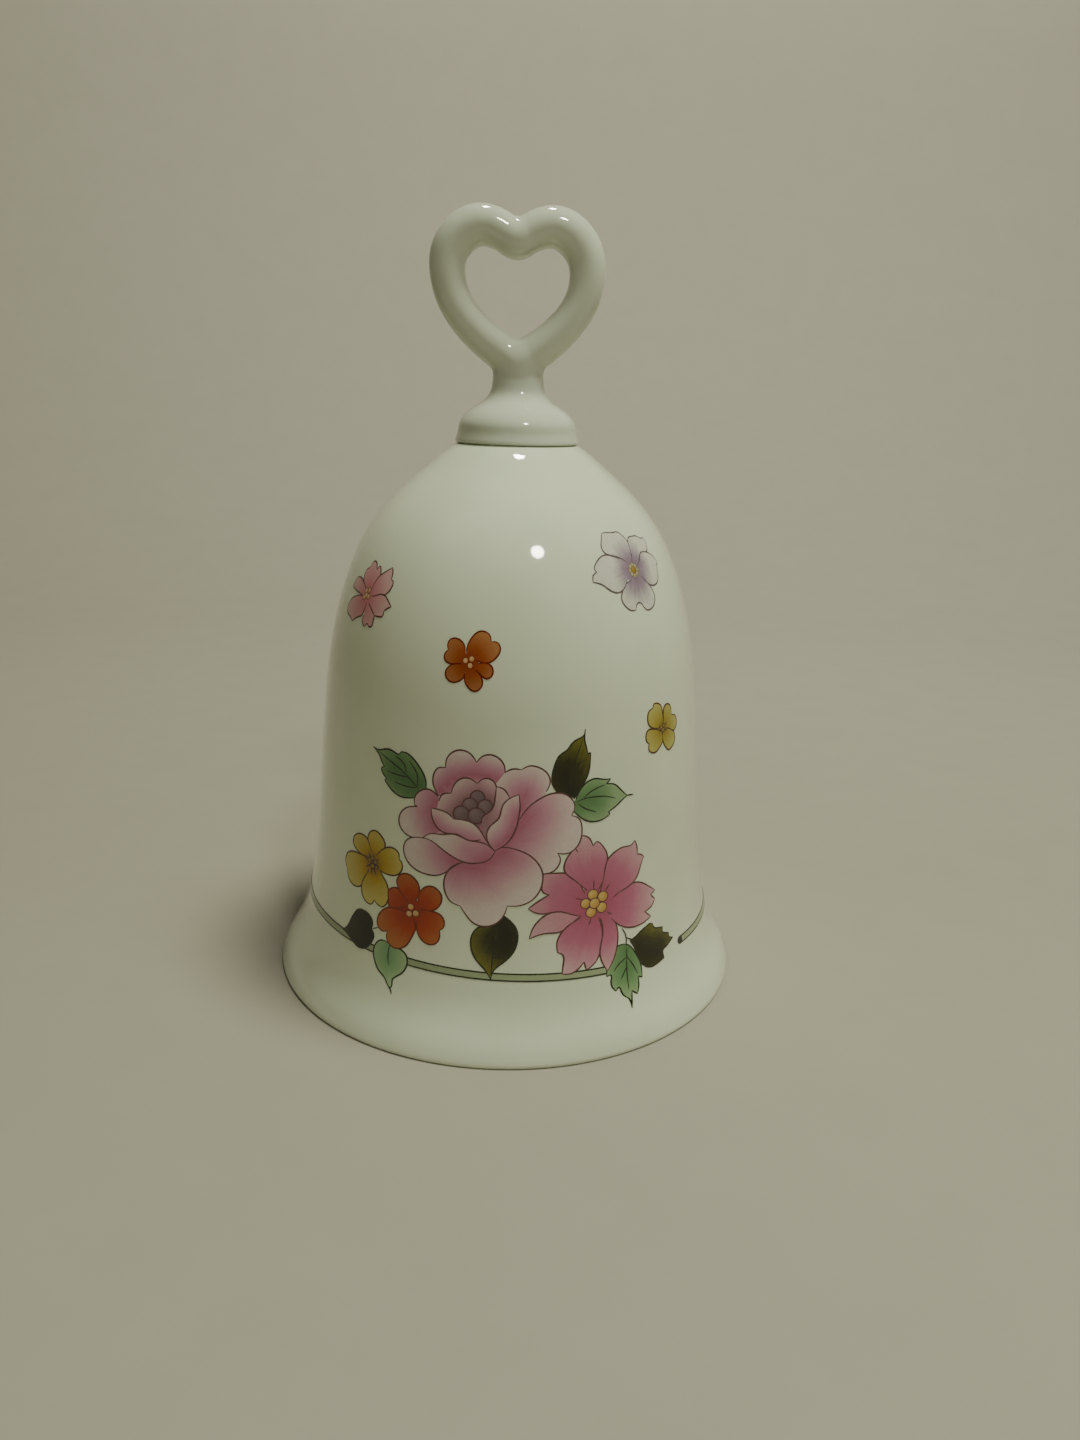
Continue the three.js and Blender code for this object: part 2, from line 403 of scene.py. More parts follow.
SHELL_OUTLINE = [
    (41.95, 0.7), (41.3, 2.3), (39.4, 5.6), (37.7, 9.3), (36.45, 14), (35.6, 19), (34.85, 25.2),
    (34.15, 34),
    (33.1, 46.7), (31.3, 60.7), (28.5, 71), (24.45, 79.4), (19.75, 85), (14.9, 89.2), (10.4, 92.6),
    (6, 94.5), (2, 95.2),
]
SHELL_SIDES, OUTER_ROWS, INNER_ROWS = 256, 170, 120
WALL_LIP, WALL_CROWN = 1.8, 2.7
FOOT_OUTER, FOOT_INNER = 41.6, 40.3
FOOT_FLAT = 0.02  # faces whose middle is lower than this make up the ground ring
INNER_START = 0.035  # the share of the curve below which the inner wall has reached the foot
CROWN_HOLE = 2.0
WAIST = 33.0  # the radius at which a painted shape's width is true


class Shell:
    """The bell's outer curve, measured by the distance up its wall from the lip."""

    def __init__(self):
        self.curve = spline_through(SHELL_OUTLINE, 2400)
        run = np.diff(self.curve, axis=0)
        self.up = np.concatenate([[0], np.cumsum(np.hypot(run[:, 0], run[:, 1]))])
        tangent = np.gradient(self.curve, axis=0)
        tangent /= np.hypot(tangent[:, 0], tangent[:, 1])[:, None]
        self.tangent = tangent

    def at(self, up):
        """(radius, height) at a distance up the wall."""
        return np.stack([np.interp(up, self.up, self.curve[:, i]) for i in (0, 1)], axis=-1)

    def out(self, up):
        """The outward normal's (radius, height) parts."""
        r, z = (np.interp(up, self.up, self.tangent[:, i]) for i in (0, 1))
        return np.stack([z, -r], axis=-1)

    def lift(self, spots, height):
        """Points and normals above the painted spots (sideways, up the wall)."""
        spots = np.asarray(spots, float)
        turn = spots[:, 0] / WAIST
        normal = self.out(spots[:, 1])
        place = self.at(spots[:, 1]) + normal * np.reshape(height, (-1, 1))
        sine, cosine = np.sin(turn), np.cos(turn)
        return [np.stack([p[:, 0] * sine, -p[:, 0] * cosine, p[:, 1]], axis=-1) for p in (place, normal)]


SHELL = Shell()


def make_shell():
    """The cast wall with its glazed skin, and the ground foot ring with no glaze."""
    top = SHELL.up[-1]
    outer = SHELL.at(np.linspace(0, top, OUTER_ROWS))
    up = np.linspace(top, INNER_START * top, INNER_ROWS)
    wall = np.interp(up, [0, top], [WALL_LIP, WALL_CROWN])[:, None]
    inner = SHELL.at(up) - SHELL.out(up) * wall
    inner = inner[inner[:, 0] > CROWN_HOLE]
    hole = [(CROWN_HOLE, outer[-1, 1] - 0.1), (CROWN_HOLE, inner[0, 1])]
    toe = [(FOOT_INNER - 0.75, 1.1), (FOOT_INNER - 0.2, 0.25), (FOOT_INNER, 0)]
    foot = spline_through([inner[-1], *toe], 12)[1:]
    lip = [(FOOT_OUTER + out, z) for out, z in ((0, 0), (0.15, 0.04), (0.29, 0.2), (0.36, 0.45))]
    points, faces = turned(np.vstack([outer, hole, inner, foot, lip]), SHELL_SIDES)
    shell = mesh_piece("shell", points, faces, [GLAZE, CLAY])
    for face in shell.data.polygons:
        if face.center.z < FOOT_FLAT * MM:
            face.material_index = 1
    smooth_with_edges(shell, 50)
    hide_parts("bell_body")


make_shell()


# ---------------------------------------------------------------- handle

HEART_HALF = [
    (-0.3, 105.7), (2.9, 107.4), (6.1, 109.8), (8.5, 112.3), (10.35, 115.3), (11.2, 118.9),
    (10.95, 121.7), (9.2, 124.5), (6.1, 126.1), (2.9, 125.5), (1.0, 124.6), (-0.3, 124.1),
]
HEART_THICKNESS = [3.1, 3.05, 2.95, 2.85, 2.82, 2.9, 3.05, 3.22, 3.22, 3.05, 2.9, 2.85]  # at each point above
HEART_LEAN = 0.025  # the heart leans a little to the left
NECK = [
    (1.6, 106.6), (2.9, 105.7), (3.9, 104.4), (4.25, 102.7), (4.65, 100.9), (5.9, 99.4),
    (7.6, 98.3), (9.0, 97.1), (9.75, 95.8), (9.95, 94.7), (10.3, 93.5),
]
NECK_FLAT = ((101.0, 1.0), (104.8, 0.62))  # at these heights the neck is this deep for its width
CAP_LIP = [(10.4, 93.2), (10.4, 93.02), (10.33, 92.93), (10.2, 92.94)]
CAP_HOLLOW = [(7.2, 94.35), (6.7, 95.7), (5.4, 97.4), (3, 98.4), (0.02, 98.6)]
CAP_SIDES = 128
JOIN_HEIGHT = 100.6  # above this the form is the melted one, and below it the neck and cap are turned
LOBES_MELT, NECK_MELT = 0.9, 1.3  # how wide the fillets are between the heart's halves, and at the neck
SKIN_VOXEL = 0.42


class Handle:
    """The heart and neck as one soft form: how far a point lies outside it, and which way is out."""

    def __init__(self):
        self.halves = []
        for side in (1, -1):
            places = [(side * x - HEART_LEAN * (z - JOIN_HEIGHT), 0, z) for x, z in HEART_HALF]
            both = spline_through([(*place, t) for place, t in zip(places, HEART_THICKNESS)], 260)
            line, thick = both[:, :3], both[:, 3]
            along = np.gradient(line, axis=0)
            step = np.linalg.norm(along, axis=1)
            self.halves.append((line, along / step[:, None], thick, np.gradient(thick) / step))
        neck = spline_through(NECK, 500)[::-1]
        self.neck_z, self.neck_r = neck[:, 1], neck[:, 0]
        self.neck_slope = np.gradient(self.neck_r) / np.gradient(self.neck_z)

    def tube(self, points, half):
        line, along, thick, taper = self.halves[half]
        near = np.argmin(((points[:, None, :] - line[None]) ** 2).sum(-1), axis=1)
        offset = ((points - line[near]) * along[near]).sum(1)
        last = len(line) - 1
        offset = np.where((near == 0) & (offset < 0) | (near == last) & (offset > 0), 0, offset)
        away = points - line[near] - along[near] * offset[:, None]
        length = np.linalg.norm(away, axis=1) + 1e-9
        return length - thick[near] - taper[near] * offset, away / length[:, None]

    def neck(self, points):
        flat = np.interp(points[:, 2], *zip(*NECK_FLAT))
        x, y = points[:, 0], points[:, 1] / flat
        radius = np.hypot(x, y) + 1e-9
        wide = np.interp(points[:, 2], self.neck_z, self.neck_r)
        slope = np.interp(points[:, 2], self.neck_z, self.neck_slope)
        normal = np.stack([x / radius, y / flat / radius, -slope], axis=-1)
        steep = np.linalg.norm(normal, axis=1)
        away = (radius - wide) / steep
        over = np.maximum(points[:, 2] - self.neck_z[-1], 0)
        return away + over, normal / steep[:, None]

    @staticmethod
    def melt(one, other, reach):
        """Two forms run together, with a fillet about reach wide."""
        (a, out_a), (b, out_b) = one, other
        share = np.clip(0.5 + 0.5 * (b - a) / reach, 0, 1)
        out = out_b + (out_a - out_b) * share[:, None]
        out /= np.linalg.norm(out, axis=1)[:, None] + 1e-9
        return b + (a - b) * share - reach * share * (1 - share), out

    def outside(self, points):
        """How far each point lies outside the form, and the way out. Done in parts, to save memory."""
        parts = [self.chunk(part) for part in np.array_split(points, 40)]
        return [np.concatenate(values) for values in zip(*parts)]

    def chunk(self, points):
        heart = self.melt(self.tube(points, 0), self.tube(points, 1), LOBES_MELT)
        return self.melt(heart, self.neck(points), NECK_MELT)


def add_faces(work, points, faces):
    """Adds points and faces to a mesh in the making, and gives back its new vertices."""
    verts = [work.verts.new(p) for p in points]
    for face in faces:
        work.faces.new([verts[i] for i in face])
    return verts


def rough_handle(handle):
    """A coarse skin over the heart and neck, whose points are then drawn onto the true form."""
    work = bmesh.new()
    for line, *_ in handle.halves:
        add_faces(work, *bent_rod(line[::6], 3.0, 16, round_ends=False))
    upper_neck = spline_through(NECK, 60)[:32][::-1]
    neck = np.vstack([(0.01, 98.0), (6.5, 98.0), upper_neck, (0.01, 107.4)])
    add_faces(work, *turned(neck, 32))
    bmesh.ops.remove_doubles(work, verts=work.verts, dist=0.012)
    bmesh.ops.recalc_face_normals(work, faces=work.faces)
    mesh = bpy.data.meshes.new("rough")
    work.to_mesh(mesh)
    work.free()
    rough = bpy.data.objects.new("rough", mesh)
    bpy.context.scene.collection.objects.link(rough)
    voxels = rough.modifiers.new("skin", "REMESH")
    voxels.mode = "VOXEL"
    voxels.voxel_size = SKIN_VOXEL
    skinned = bpy.data.meshes.new_from_object(rough.evaluated_get(bpy.context.evaluated_depsgraph_get()))
    bpy.data.objects.remove(rough)
    return skinned


def make_handle():
    """One casting: heart, neck and cap. The cap's lower edge is turned, and its hollow is left open below."""
    handle = Handle()
    skin = rough_handle(handle)
    work = bmesh.new()
    work.from_mesh(skin)
    axes = {"use_axis_x": True, "use_axis_y": True, "use_axis_z": True}
    for _ in range(3):
        bmesh.ops.smooth_vert(work, verts=work.verts, factor=0.5, **axes)
        points = np.array([v.co for v in work.verts])
        for _ in range(3):
            gap, out = handle.outside(points)
            points -= out * gap[:, None]
        for vert, point in zip(work.verts, points):
            vert.co = point
    everything = [*work.verts, *work.edges, *work.faces]
    cut = bmesh.ops.bisect_plane(
        work, geom=everything, plane_co=(0, 0, JOIN_HEIGHT + 0.15), plane_no=(0, 0, 1), clear_inner=True,
    )
    upper_rim = [e for e in cut["geom_cut"] if isinstance(e, bmesh.types.BMEdge)]
    curve = spline_through(NECK, 400)
    outer = curve[curve[:, 1] < JOIN_HEIGHT][::4]
    hollow = spline_through(CAP_HOLLOW, 24)
    points, faces = turned(np.vstack([outer, CAP_LIP, hollow]), CAP_SIDES, closed=False)
    verts = add_faces(work, points, [face[::-1] for face in faces])
    lower_rim = [work.edges.get((verts[j], verts[(j + 1) % CAP_SIDES])) for j in range(CAP_SIDES)]
    bmesh.ops.bridge_loops(work, edges=upper_rim + lower_rim)
    bmesh.ops.remove_doubles(work, verts=verts[-CAP_SIDES:], dist=0.05)
    bmesh.ops.recalc_face_normals(work, faces=work.faces)
    work.verts.index_update()
    points = np.array([v.co for v in work.verts])
    faces = [tuple(v.index for v in f.verts) for f in work.faces]
    work.free()
    # the handle takes the darker glaze, whose darkness is painted shade
    piece = mesh_piece("heart_loop", points, faces, [SHADED_HANDLE_GLAZE])
    smooth_with_edges(piece, 40)
    true_normals(piece, handle)
    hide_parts("heart_handle")


def true_normals(piece, handle):
    """Shades the heart and neck by the form itself, so that the glaze reflects without a ripple."""
    mesh = piece.data
    points = np.zeros(len(mesh.vertices) * 3)
    mesh.vertices.foreach_get("co", points)
    points = points.reshape(-1, 3) / MM
    _, out = handle.outside(points)
    corner_normals = np.zeros(len(mesh.loops) * 3)
    mesh.corner_normals.foreach_get("vector", corner_normals)
    corner_normals = corner_normals.reshape(-1, 3)
    corner_verts = np.zeros(len(mesh.loops), int)
    mesh.loops.foreach_get("vertex_index", corner_verts)
    high = points[corner_verts, 2] > JOIN_HEIGHT - 1.5
    corner_normals[high] = out[corner_verts[high]]
    mesh.normals_split_custom_set(corner_normals)


make_handle()


# ---------------------------------------------------------------- inside

WIRE = 0.55  # the radius of all the brass wire
HANG = 2 * WIRE + 0.15  # how far the top of a link is above the wire it hangs on, middle to middle
LINK_LENGTH, LINK_WIDTH = 6.5, 3.2
PITCH = LINK_LENGTH - HANG
HANGER_EYE, PIN_EYE = 1.9, 1.7  # radii, to the middle of the wire
LEG_OFFSET = 0.68  # how far each leg of the split pin stands from the middle of the crown's hole
HANGER_PIVOT = frame["joints"][0]["pos_m"][2] / MM
PIN_PIVOT = frame["joints"][-1]["pos_m"][2] / MM
BALL_HEIGHT, BALL_RADIUS = 22.0, 7.5
BORE = 0.85  # the radius of the hole through the ball and the bead


def circle_points(height, radius, start, end, count):
    """Points on a circle about (0, height), in the XZ plane."""
    angle = np.radians(np.linspace(start, end, count))
    return np.stack([radius * np.cos(angle), np.zeros(count), height + radius * np.sin(angle)], axis=-1)


def in_yz(points):
    points = np.asarray(points)
    return np.stack([-points[:, 1], points[:, 0], points[:, 2]], axis=-1)


def wire_piece(name, path, body, node):
    points, faces = bent_rod(path, WIRE)
    piece = mesh_piece(name, points, faces, [BRASS], body)
    smooth_with_edges(piece)
    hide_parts(node)


def make_hanger():
    """A split pin: an eye below the crown, and two legs spread flat above the washer."""
    leg_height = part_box("anchor_washer")[1][2] / MM + 0.15 + WIRE
    leg = [
        (-4, 0, leg_height), (-1.58, 0, leg_height), (-LEG_OFFSET, 0, leg_height - 0.8),
        (-LEG_OFFSET, 0, 92.6),
    ]
    other = [(-x, y, z) for x, y, z in leg[::-1]]
    loop = circle_points(HANGER_PIVOT + HANGER_EYE, HANGER_EYE, 125, 415, 13)
    wire_piece("split_pin", spline_through([*leg, *loop, *other], 150), "bell", "hanger_eye")


def make_link(number):
    """An oval of wire, bent shut: its two ends meet halfway down one side."""
    top = HANGER_PIVOT - (number - 1) * PITCH + HANG
    r = LINK_WIDTH / 2
    bottom = top - LINK_LENGTH
    middle = (top + bottom) / 2
    gap, straight = 0.06, 0.6
    path = np.vstack([
        [(r, 0, middle + gap), (r, 0, middle + straight)],
        circle_points(top - r, r, 0, 180, 22), [(-r, 0, middle)],
        circle_points(bottom + r, r, 180, 360, 22), [(r, 0, middle - straight), (r, 0, middle - gap)],
    ])
    path = in_yz(path) if number % 2 else path
    wire_piece(f"link_{number}_wire", path, f"link_{number}", f"chain_link_{number}")


def make_clapper_pin():
    """A straight wire from below the bead up through the ball, its top bent into an eye."""
    eye_middle = PIN_PIVOT + HANG - PIN_EYE
    eye = circle_points(eye_middle, PIN_EYE, -50, 235, 13)
    stem = [(0, 0, 10.9), (0, 0, 25), (0, 0, 40), (0, 0, eye_middle - 3.9), (0.1, 0, eye_middle - 2.7)]
    wire_piece("clapper_wire", in_yz(spline_through([*stem, *eye], 160)), "clapper", "clapper_pin")


def make_ball():
    """A glazed ball, bare and slightly countersunk at the bore."""
    countersink = 0.35
    edge = math.degrees(math.asin((BORE + countersink) / BALL_RADIUS))
    around = np.radians(np.linspace(edge, 180 - edge, 56))
    skin = np.stack([BALL_RADIUS * np.sin(around), BALL_HEIGHT + BALL_RADIUS * np.cos(around)], axis=-1)
    top, bottom = skin[0, 1], skin[-1, 1]
    upper = [(BORE, top - 0.4), (BORE + 0.1, top - 0.12)]
    lower = [(BORE + 0.1, bottom + 0.12), (BORE, bottom + 0.4)]
    points, faces = turned(np.vstack([upper, skin, lower]), 80)
    ball = mesh_piece("porcelain_ball", points, faces, [BALL_GLAZE, CLAY], "clapper")
    for face in ball.data.polygons:
        if math.hypot(*face.center.xy) < 1.5 * MM:
            face.material_index = 1
    smooth_with_edges(ball)
    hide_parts("clapper_ball")


def turned_piece(name, outline, sides, material, body, node, ease):
    points, faces = turned(eased_corners(outline, ease), sides)
    piece = mesh_piece(name, points, faces, [material], body)
    smooth_with_edges(piece)
    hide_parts(node)


def make_small_turned_parts():
    """The washer, the bead and the cement, each as high as its solid and with its corners eased."""
    low, high = (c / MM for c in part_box("anchor_washer"))
    hole, rim = 1.6, 3.7
    washer = [(hole, low[2]), (rim, low[2]), (rim, high[2]), (hole, high[2])]
    turned_piece("brass_washer", washer, 64, BRASS, "bell", "anchor_washer", 0.12)
    low, high = (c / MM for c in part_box("stop_bead"))
    bead = [(BORE, low[2]), (1.2, low[2]), (1.6, 12.2), (1.6, 13.2), (1.2, high[2]), (BORE, high[2])]
    turned_piece("brass_bead", bead, 40, BRASS, "clapper", "stop_bead", 0.2)
    low, high = (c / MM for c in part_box("handle_cement"))
    hole, foot, top = 4.7, low[2], high[2]
    fillet = [(hole, foot + 0.55), (6.4, foot), (6.2, top - 0.5), (5.5, top), (hole, top - 0.1)]
    turned_piece("cement_fillet", fillet, 64, CEMENT, "bell", "handle_cement", 0.15)


make_hanger()
for link in range(1, 5):
    make_link(link)
make_clapper_pin()
make_ball()
make_small_turned_parts()


# ---------------------------------------------------------------- painted flowers

class Sheet:
    """Printed artwork, in millimetres sideways and up the wall. Each thing is laid over the ones before."""

    GRID = 1.0  # how far apart the points inside a painted shape are, so that its film follows the wall
    GRID_LEFT = -60  # farther left there is only the band, too narrow to need points inside
    FILM, ROOT = 0.05, -0.03  # how far the fired enamel stands out of the glaze, and how far it sinks in
    LINE = 0.26  # the width of an inked outline

    def __init__(self):
        self.outlines = []
        self.owners = []
        self.washes = []

    def lay(self, piece, outline, wash=((0, 0),), reach=1.0, start=0.0):
        """One flat shape. Its colour runs from start at the wash line to 1 at the reach."""
        outline = stepped(outline, self.GRID)
        x, y = outline.T
        if (x * np.roll(y, -1) - y * np.roll(x, -1)).sum() < 0:
            outline = outline[::-1]
        self.outlines.append(outline)
        self.owners.append(piece)
        self.washes.append((np.asarray(wash, float), reach, start))

    def line(self, piece, curve, width=LINE, thin=0.45):
        """An inked line that swells in its middle and thins at its ends."""
        curve = np.asarray(curve, float)
        along = np.gradient(curve, axis=0)
        along /= np.linalg.norm(along, axis=1)[:, None] + 1e-9
        share = np.linspace(0, 1, len(curve))
        half = width / 2 * (thin + (1 - thin) * np.sin(share * math.pi) ** 0.6)
        side = np.stack([-along[:, 1], along[:, 0]], axis=-1) * half[:, None]
        left, right = curve + side, curve - side
        for i in range(len(curve) - 1):
            self.lay(piece, [left[i], right[i], right[i + 1], left[i + 1]])

    def shape(self, piece, lines, strokes, hidden=(), *, wash, reach, start=0.0):
        """A painted shape and its inked strokes. Each stroke sets off from the end of the one before.

        The hidden points close the outline without ink, where the shape passes under another."""
        curves, last = [], []
        for stroke in strokes:
            curves.append(drawn([*last, *stroke]))
            last = [stroke[-1]]
        outline = np.vstack([curves[0], *(c[1:] for c in curves[1:]), *([hidden] if len(hidden) else [])])
        if np.linalg.norm(outline[0] - outline[-1]) < 1e-6:
            outline = outline[:-1]
        self.lay(piece, outline, wash, reach, start)
        for curve in curves:
            self.line(lines, curve)

    def dab(self, piece, x, y, radius, wash, reach):
        """A round dab of colour, laid first so that no white shows where the petals meet."""
        turn = np.linspace(0, 2 * math.pi, 18, endpoint=False)
        circle = np.stack([x + radius * np.cos(turn), y + radius * np.sin(turn)], axis=-1)
        self.lay(piece, circle, wash, reach)

    def flower(self, name, heart, reach, dab):
        """Lays a flower's dab of colour, and gives back what lays its petals, all coloured from one heart."""
        piece, colour = f"{name}_petals", {"wash": [heart], "reach": reach}
        self.dab(piece, *dab, **colour)
        return functools.partial(self.shape, piece, f"{name}_lines", **colour)

    def veins(self, piece, strokes, width=0.22):
        for stroke in strokes:
            self.line(piece, drawn(stroke), width, 0.3)

    def beads(self, piece, lines, beads, rim=0.16):
        """Round anthers, each with a dark ring, lapping like scales."""
        turn = np.linspace(0, 2 * math.pi, 20, endpoint=False)
        circle = np.stack([np.cos(turn), np.sin(turn)], axis=-1)
        for x, y, radius in beads:
            self.lay(lines, circle * radius + (x, y))
            light_side = ((x - 0.3 * radius, y + 0.3 * radius),)
            self.lay(piece, circle * (radius - rim) + (x, y), light_side, radius * 1.3)

    def cut(self):
        """The flat tiles left showing: spots, triangles, and which shape each triangle belongs to."""
        spots = np.vstack(self.outlines)
        faces, start = [], 0
        for outline in self.outlines:
            faces.append(list(range(start, start + len(outline))))
            start += len(outline)
        low, high = spots.min(0), spots.max(0)
        low[0] = max(low[0], self.GRID_LEFT)
        columns = np.arange(low[0], high[0], self.GRID) + 0.37 * self.GRID
        rows = np.arange(low[1], high[1], self.GRID) + 0.29 * self.GRID
        grid = np.stack(np.meshgrid(columns, rows), axis=-1).reshape(-1, 2)
        cut = delaunay_2d_cdt([Vector(p) for p in np.vstack([spots, grid])], [], faces, 1, 1e-5)
        spots = np.array([tuple(p) for p in cut[0]])
        tiles = [(triangle, max(over)) for triangle, over in zip(cut[2], cut[5]) if over]
        triangles, shape_of = zip(*tiles)
        return spots, np.array(triangles), np.array(shape_of)

    def fire(self, materials):
        """Makes each painted piece as a thin film of enamel, its edges sunk into the glaze."""
        spots, triangles, shape_of = self.cut()
        for piece, material in materials.items():
            wanted = np.array([owner == piece for owner in self.owners])
            picked = wanted[shape_of]
            if picked.any():
                self.make_film(piece, material, spots, triangles[picked], shape_of[picked])

    def make_film(self, piece, material, spots, triangles, shape_of):
        used, flat = np.unique(triangles, return_inverse=True)
        triangles, spots = flat.reshape(-1, 3), spots[used]
        count = len(spots)
        top, normals = SHELL.lift(spots, self.FILM)
        low, _ = SHELL.lift(spots, self.ROOT)
        seen, faces, shapes = {}, [], []
        for triangle, shape in zip(triangles, shape_of):
            for a, b in zip(triangle, np.roll(triangle, -1)):
                seen[a, b] = shape
            faces.append(tuple(triangle))
            shapes.append(shape)
        for triangle, shape in zip(triangles, shape_of):
            faces.append(tuple(triangle[::-1] + count))
            shapes.append(shape)
        for (a, b), shape in seen.items():
            if (b, a) not in seen:
                faces.append((b, a, a + count, b + count))
                shapes.append(shape)
        film = mesh_piece(piece, np.vstack([top, low]), faces, [material])
        film.data.shade_smooth()
        film.data.normals_split_custom_set_from_vertices(np.vstack([normals, normals]))
        corners = np.concatenate([np.array(face) for face in faces]) % count
        owner = np.repeat(shapes, [len(face) for face in faces])
        values = self.washed(spots[corners], owner)
        attribute = film.data.attributes.new("petal", "FLOAT_VECTOR", "CORNER")
        attribute.data.foreach_set("vector", values.astype(np.float32).ravel())

    def washed(self, spots, owner):
        """For each spot: how far out it lies in its petal, and its direction from the petal's heart."""
        values = np.zeros((len(spots), 3))
        for shape in np.unique(owner):
            wash, reach, start = self.washes[shape]
            mine = owner == shape
            away = distance_to_line(spots[mine], wash) / reach
            values[mine, 0] = start + (1 - start) * np.clip(away, 0, 1)
            direction = spots[mine] - wash[0]
            values[mine, 1:] = direction / (np.linalg.norm(direction, axis=1)[:, None] + 1e-6)
        return values


def stepped(outline, step):
    """The closed outline with no side longer than the step, so that a film on it can follow the wall."""
    corners = np.asarray(outline, float)
    points = []
    for a, b in zip(corners, np.roll(corners, -1, axis=0)):
        parts = max(1, math.ceil(np.linalg.norm(b - a) / step))
        points += [a + (b - a) * k / parts for k in range(parts)]
    return np.array(points)


def distance_to_line(spots, line):
    """Each spot's distance from a line of one or more points."""
    if len(line) == 1:
        return np.linalg.norm(spots - line[0], axis=1)
    nearest = np.full(len(spots), np.inf)
    for a, b in zip(line, line[1:]):
        run = b - a
        share = np.clip(((spots - a) @ run) / (run @ run), 0, 1)
        nearest = np.minimum(nearest, np.linalg.norm(spots - a - share[:, None] * run, axis=1))
    return nearest


DRAWN_STEP = 0.4  # how far apart the points of a drawn curve are


def drawn(points):
    """A smooth hand-drawn curve through the points."""
    points = np.asarray(points, float)
    length = np.linalg.norm(np.diff(points, axis=0), axis=1).sum()
    return spline_through(points, max(3, round(length / DRAWN_STEP)))


BAND_START, BAND_END = 30.6 - 2 * math.pi * WAIST, 15.4  # sideways, from the front right round the back
BAND_WIDTH, BAND_EDGE, EDGE_OFFSET = 1.15, 0.24, 0.55


def band_height(sideways):
    """The green band is set very slightly askew."""
    return 13.7 - 1.2 * np.sin(np.asarray(sideways) / WAIST)


def lay_band(sheet):
    """A green band with two dark edges, nearly all the way round, and a dark blunt end at the front right."""
    sideways = np.linspace(BAND_START, BAND_END, 190)
    for piece, offset, width in (
        ("band", 0, BAND_WIDTH),
        ("band_edges", EDGE_OFFSET, BAND_EDGE),
        ("band_edges", -EDGE_OFFSET, BAND_EDGE),
    ):
        middle = band_height(sideways) + offset
        for i in range(len(sideways) - 1):
            near, far = sideways[i], sideways[i + 1]
            sheet.lay(piece, [
                (near, middle[i] - width / 2), (far, middle[i + 1] - width / 2),
                (far, middle[i + 1] + width / 2), (near, middle[i] + width / 2),
            ])
    turn = np.linspace(0.5 * math.pi, 1.5 * math.pi, 9)
    middle = band_height(BAND_START)
    tip = [(BAND_START + 0.1 + 0.75 * math.cos(t), middle + 0.67 * math.sin(t)) for t in turn]
    tip += [(BAND_START + 0.7, middle - 0.5), (BAND_START + 0.7, middle + 0.5)]
    sheet.lay("band_end", tip)


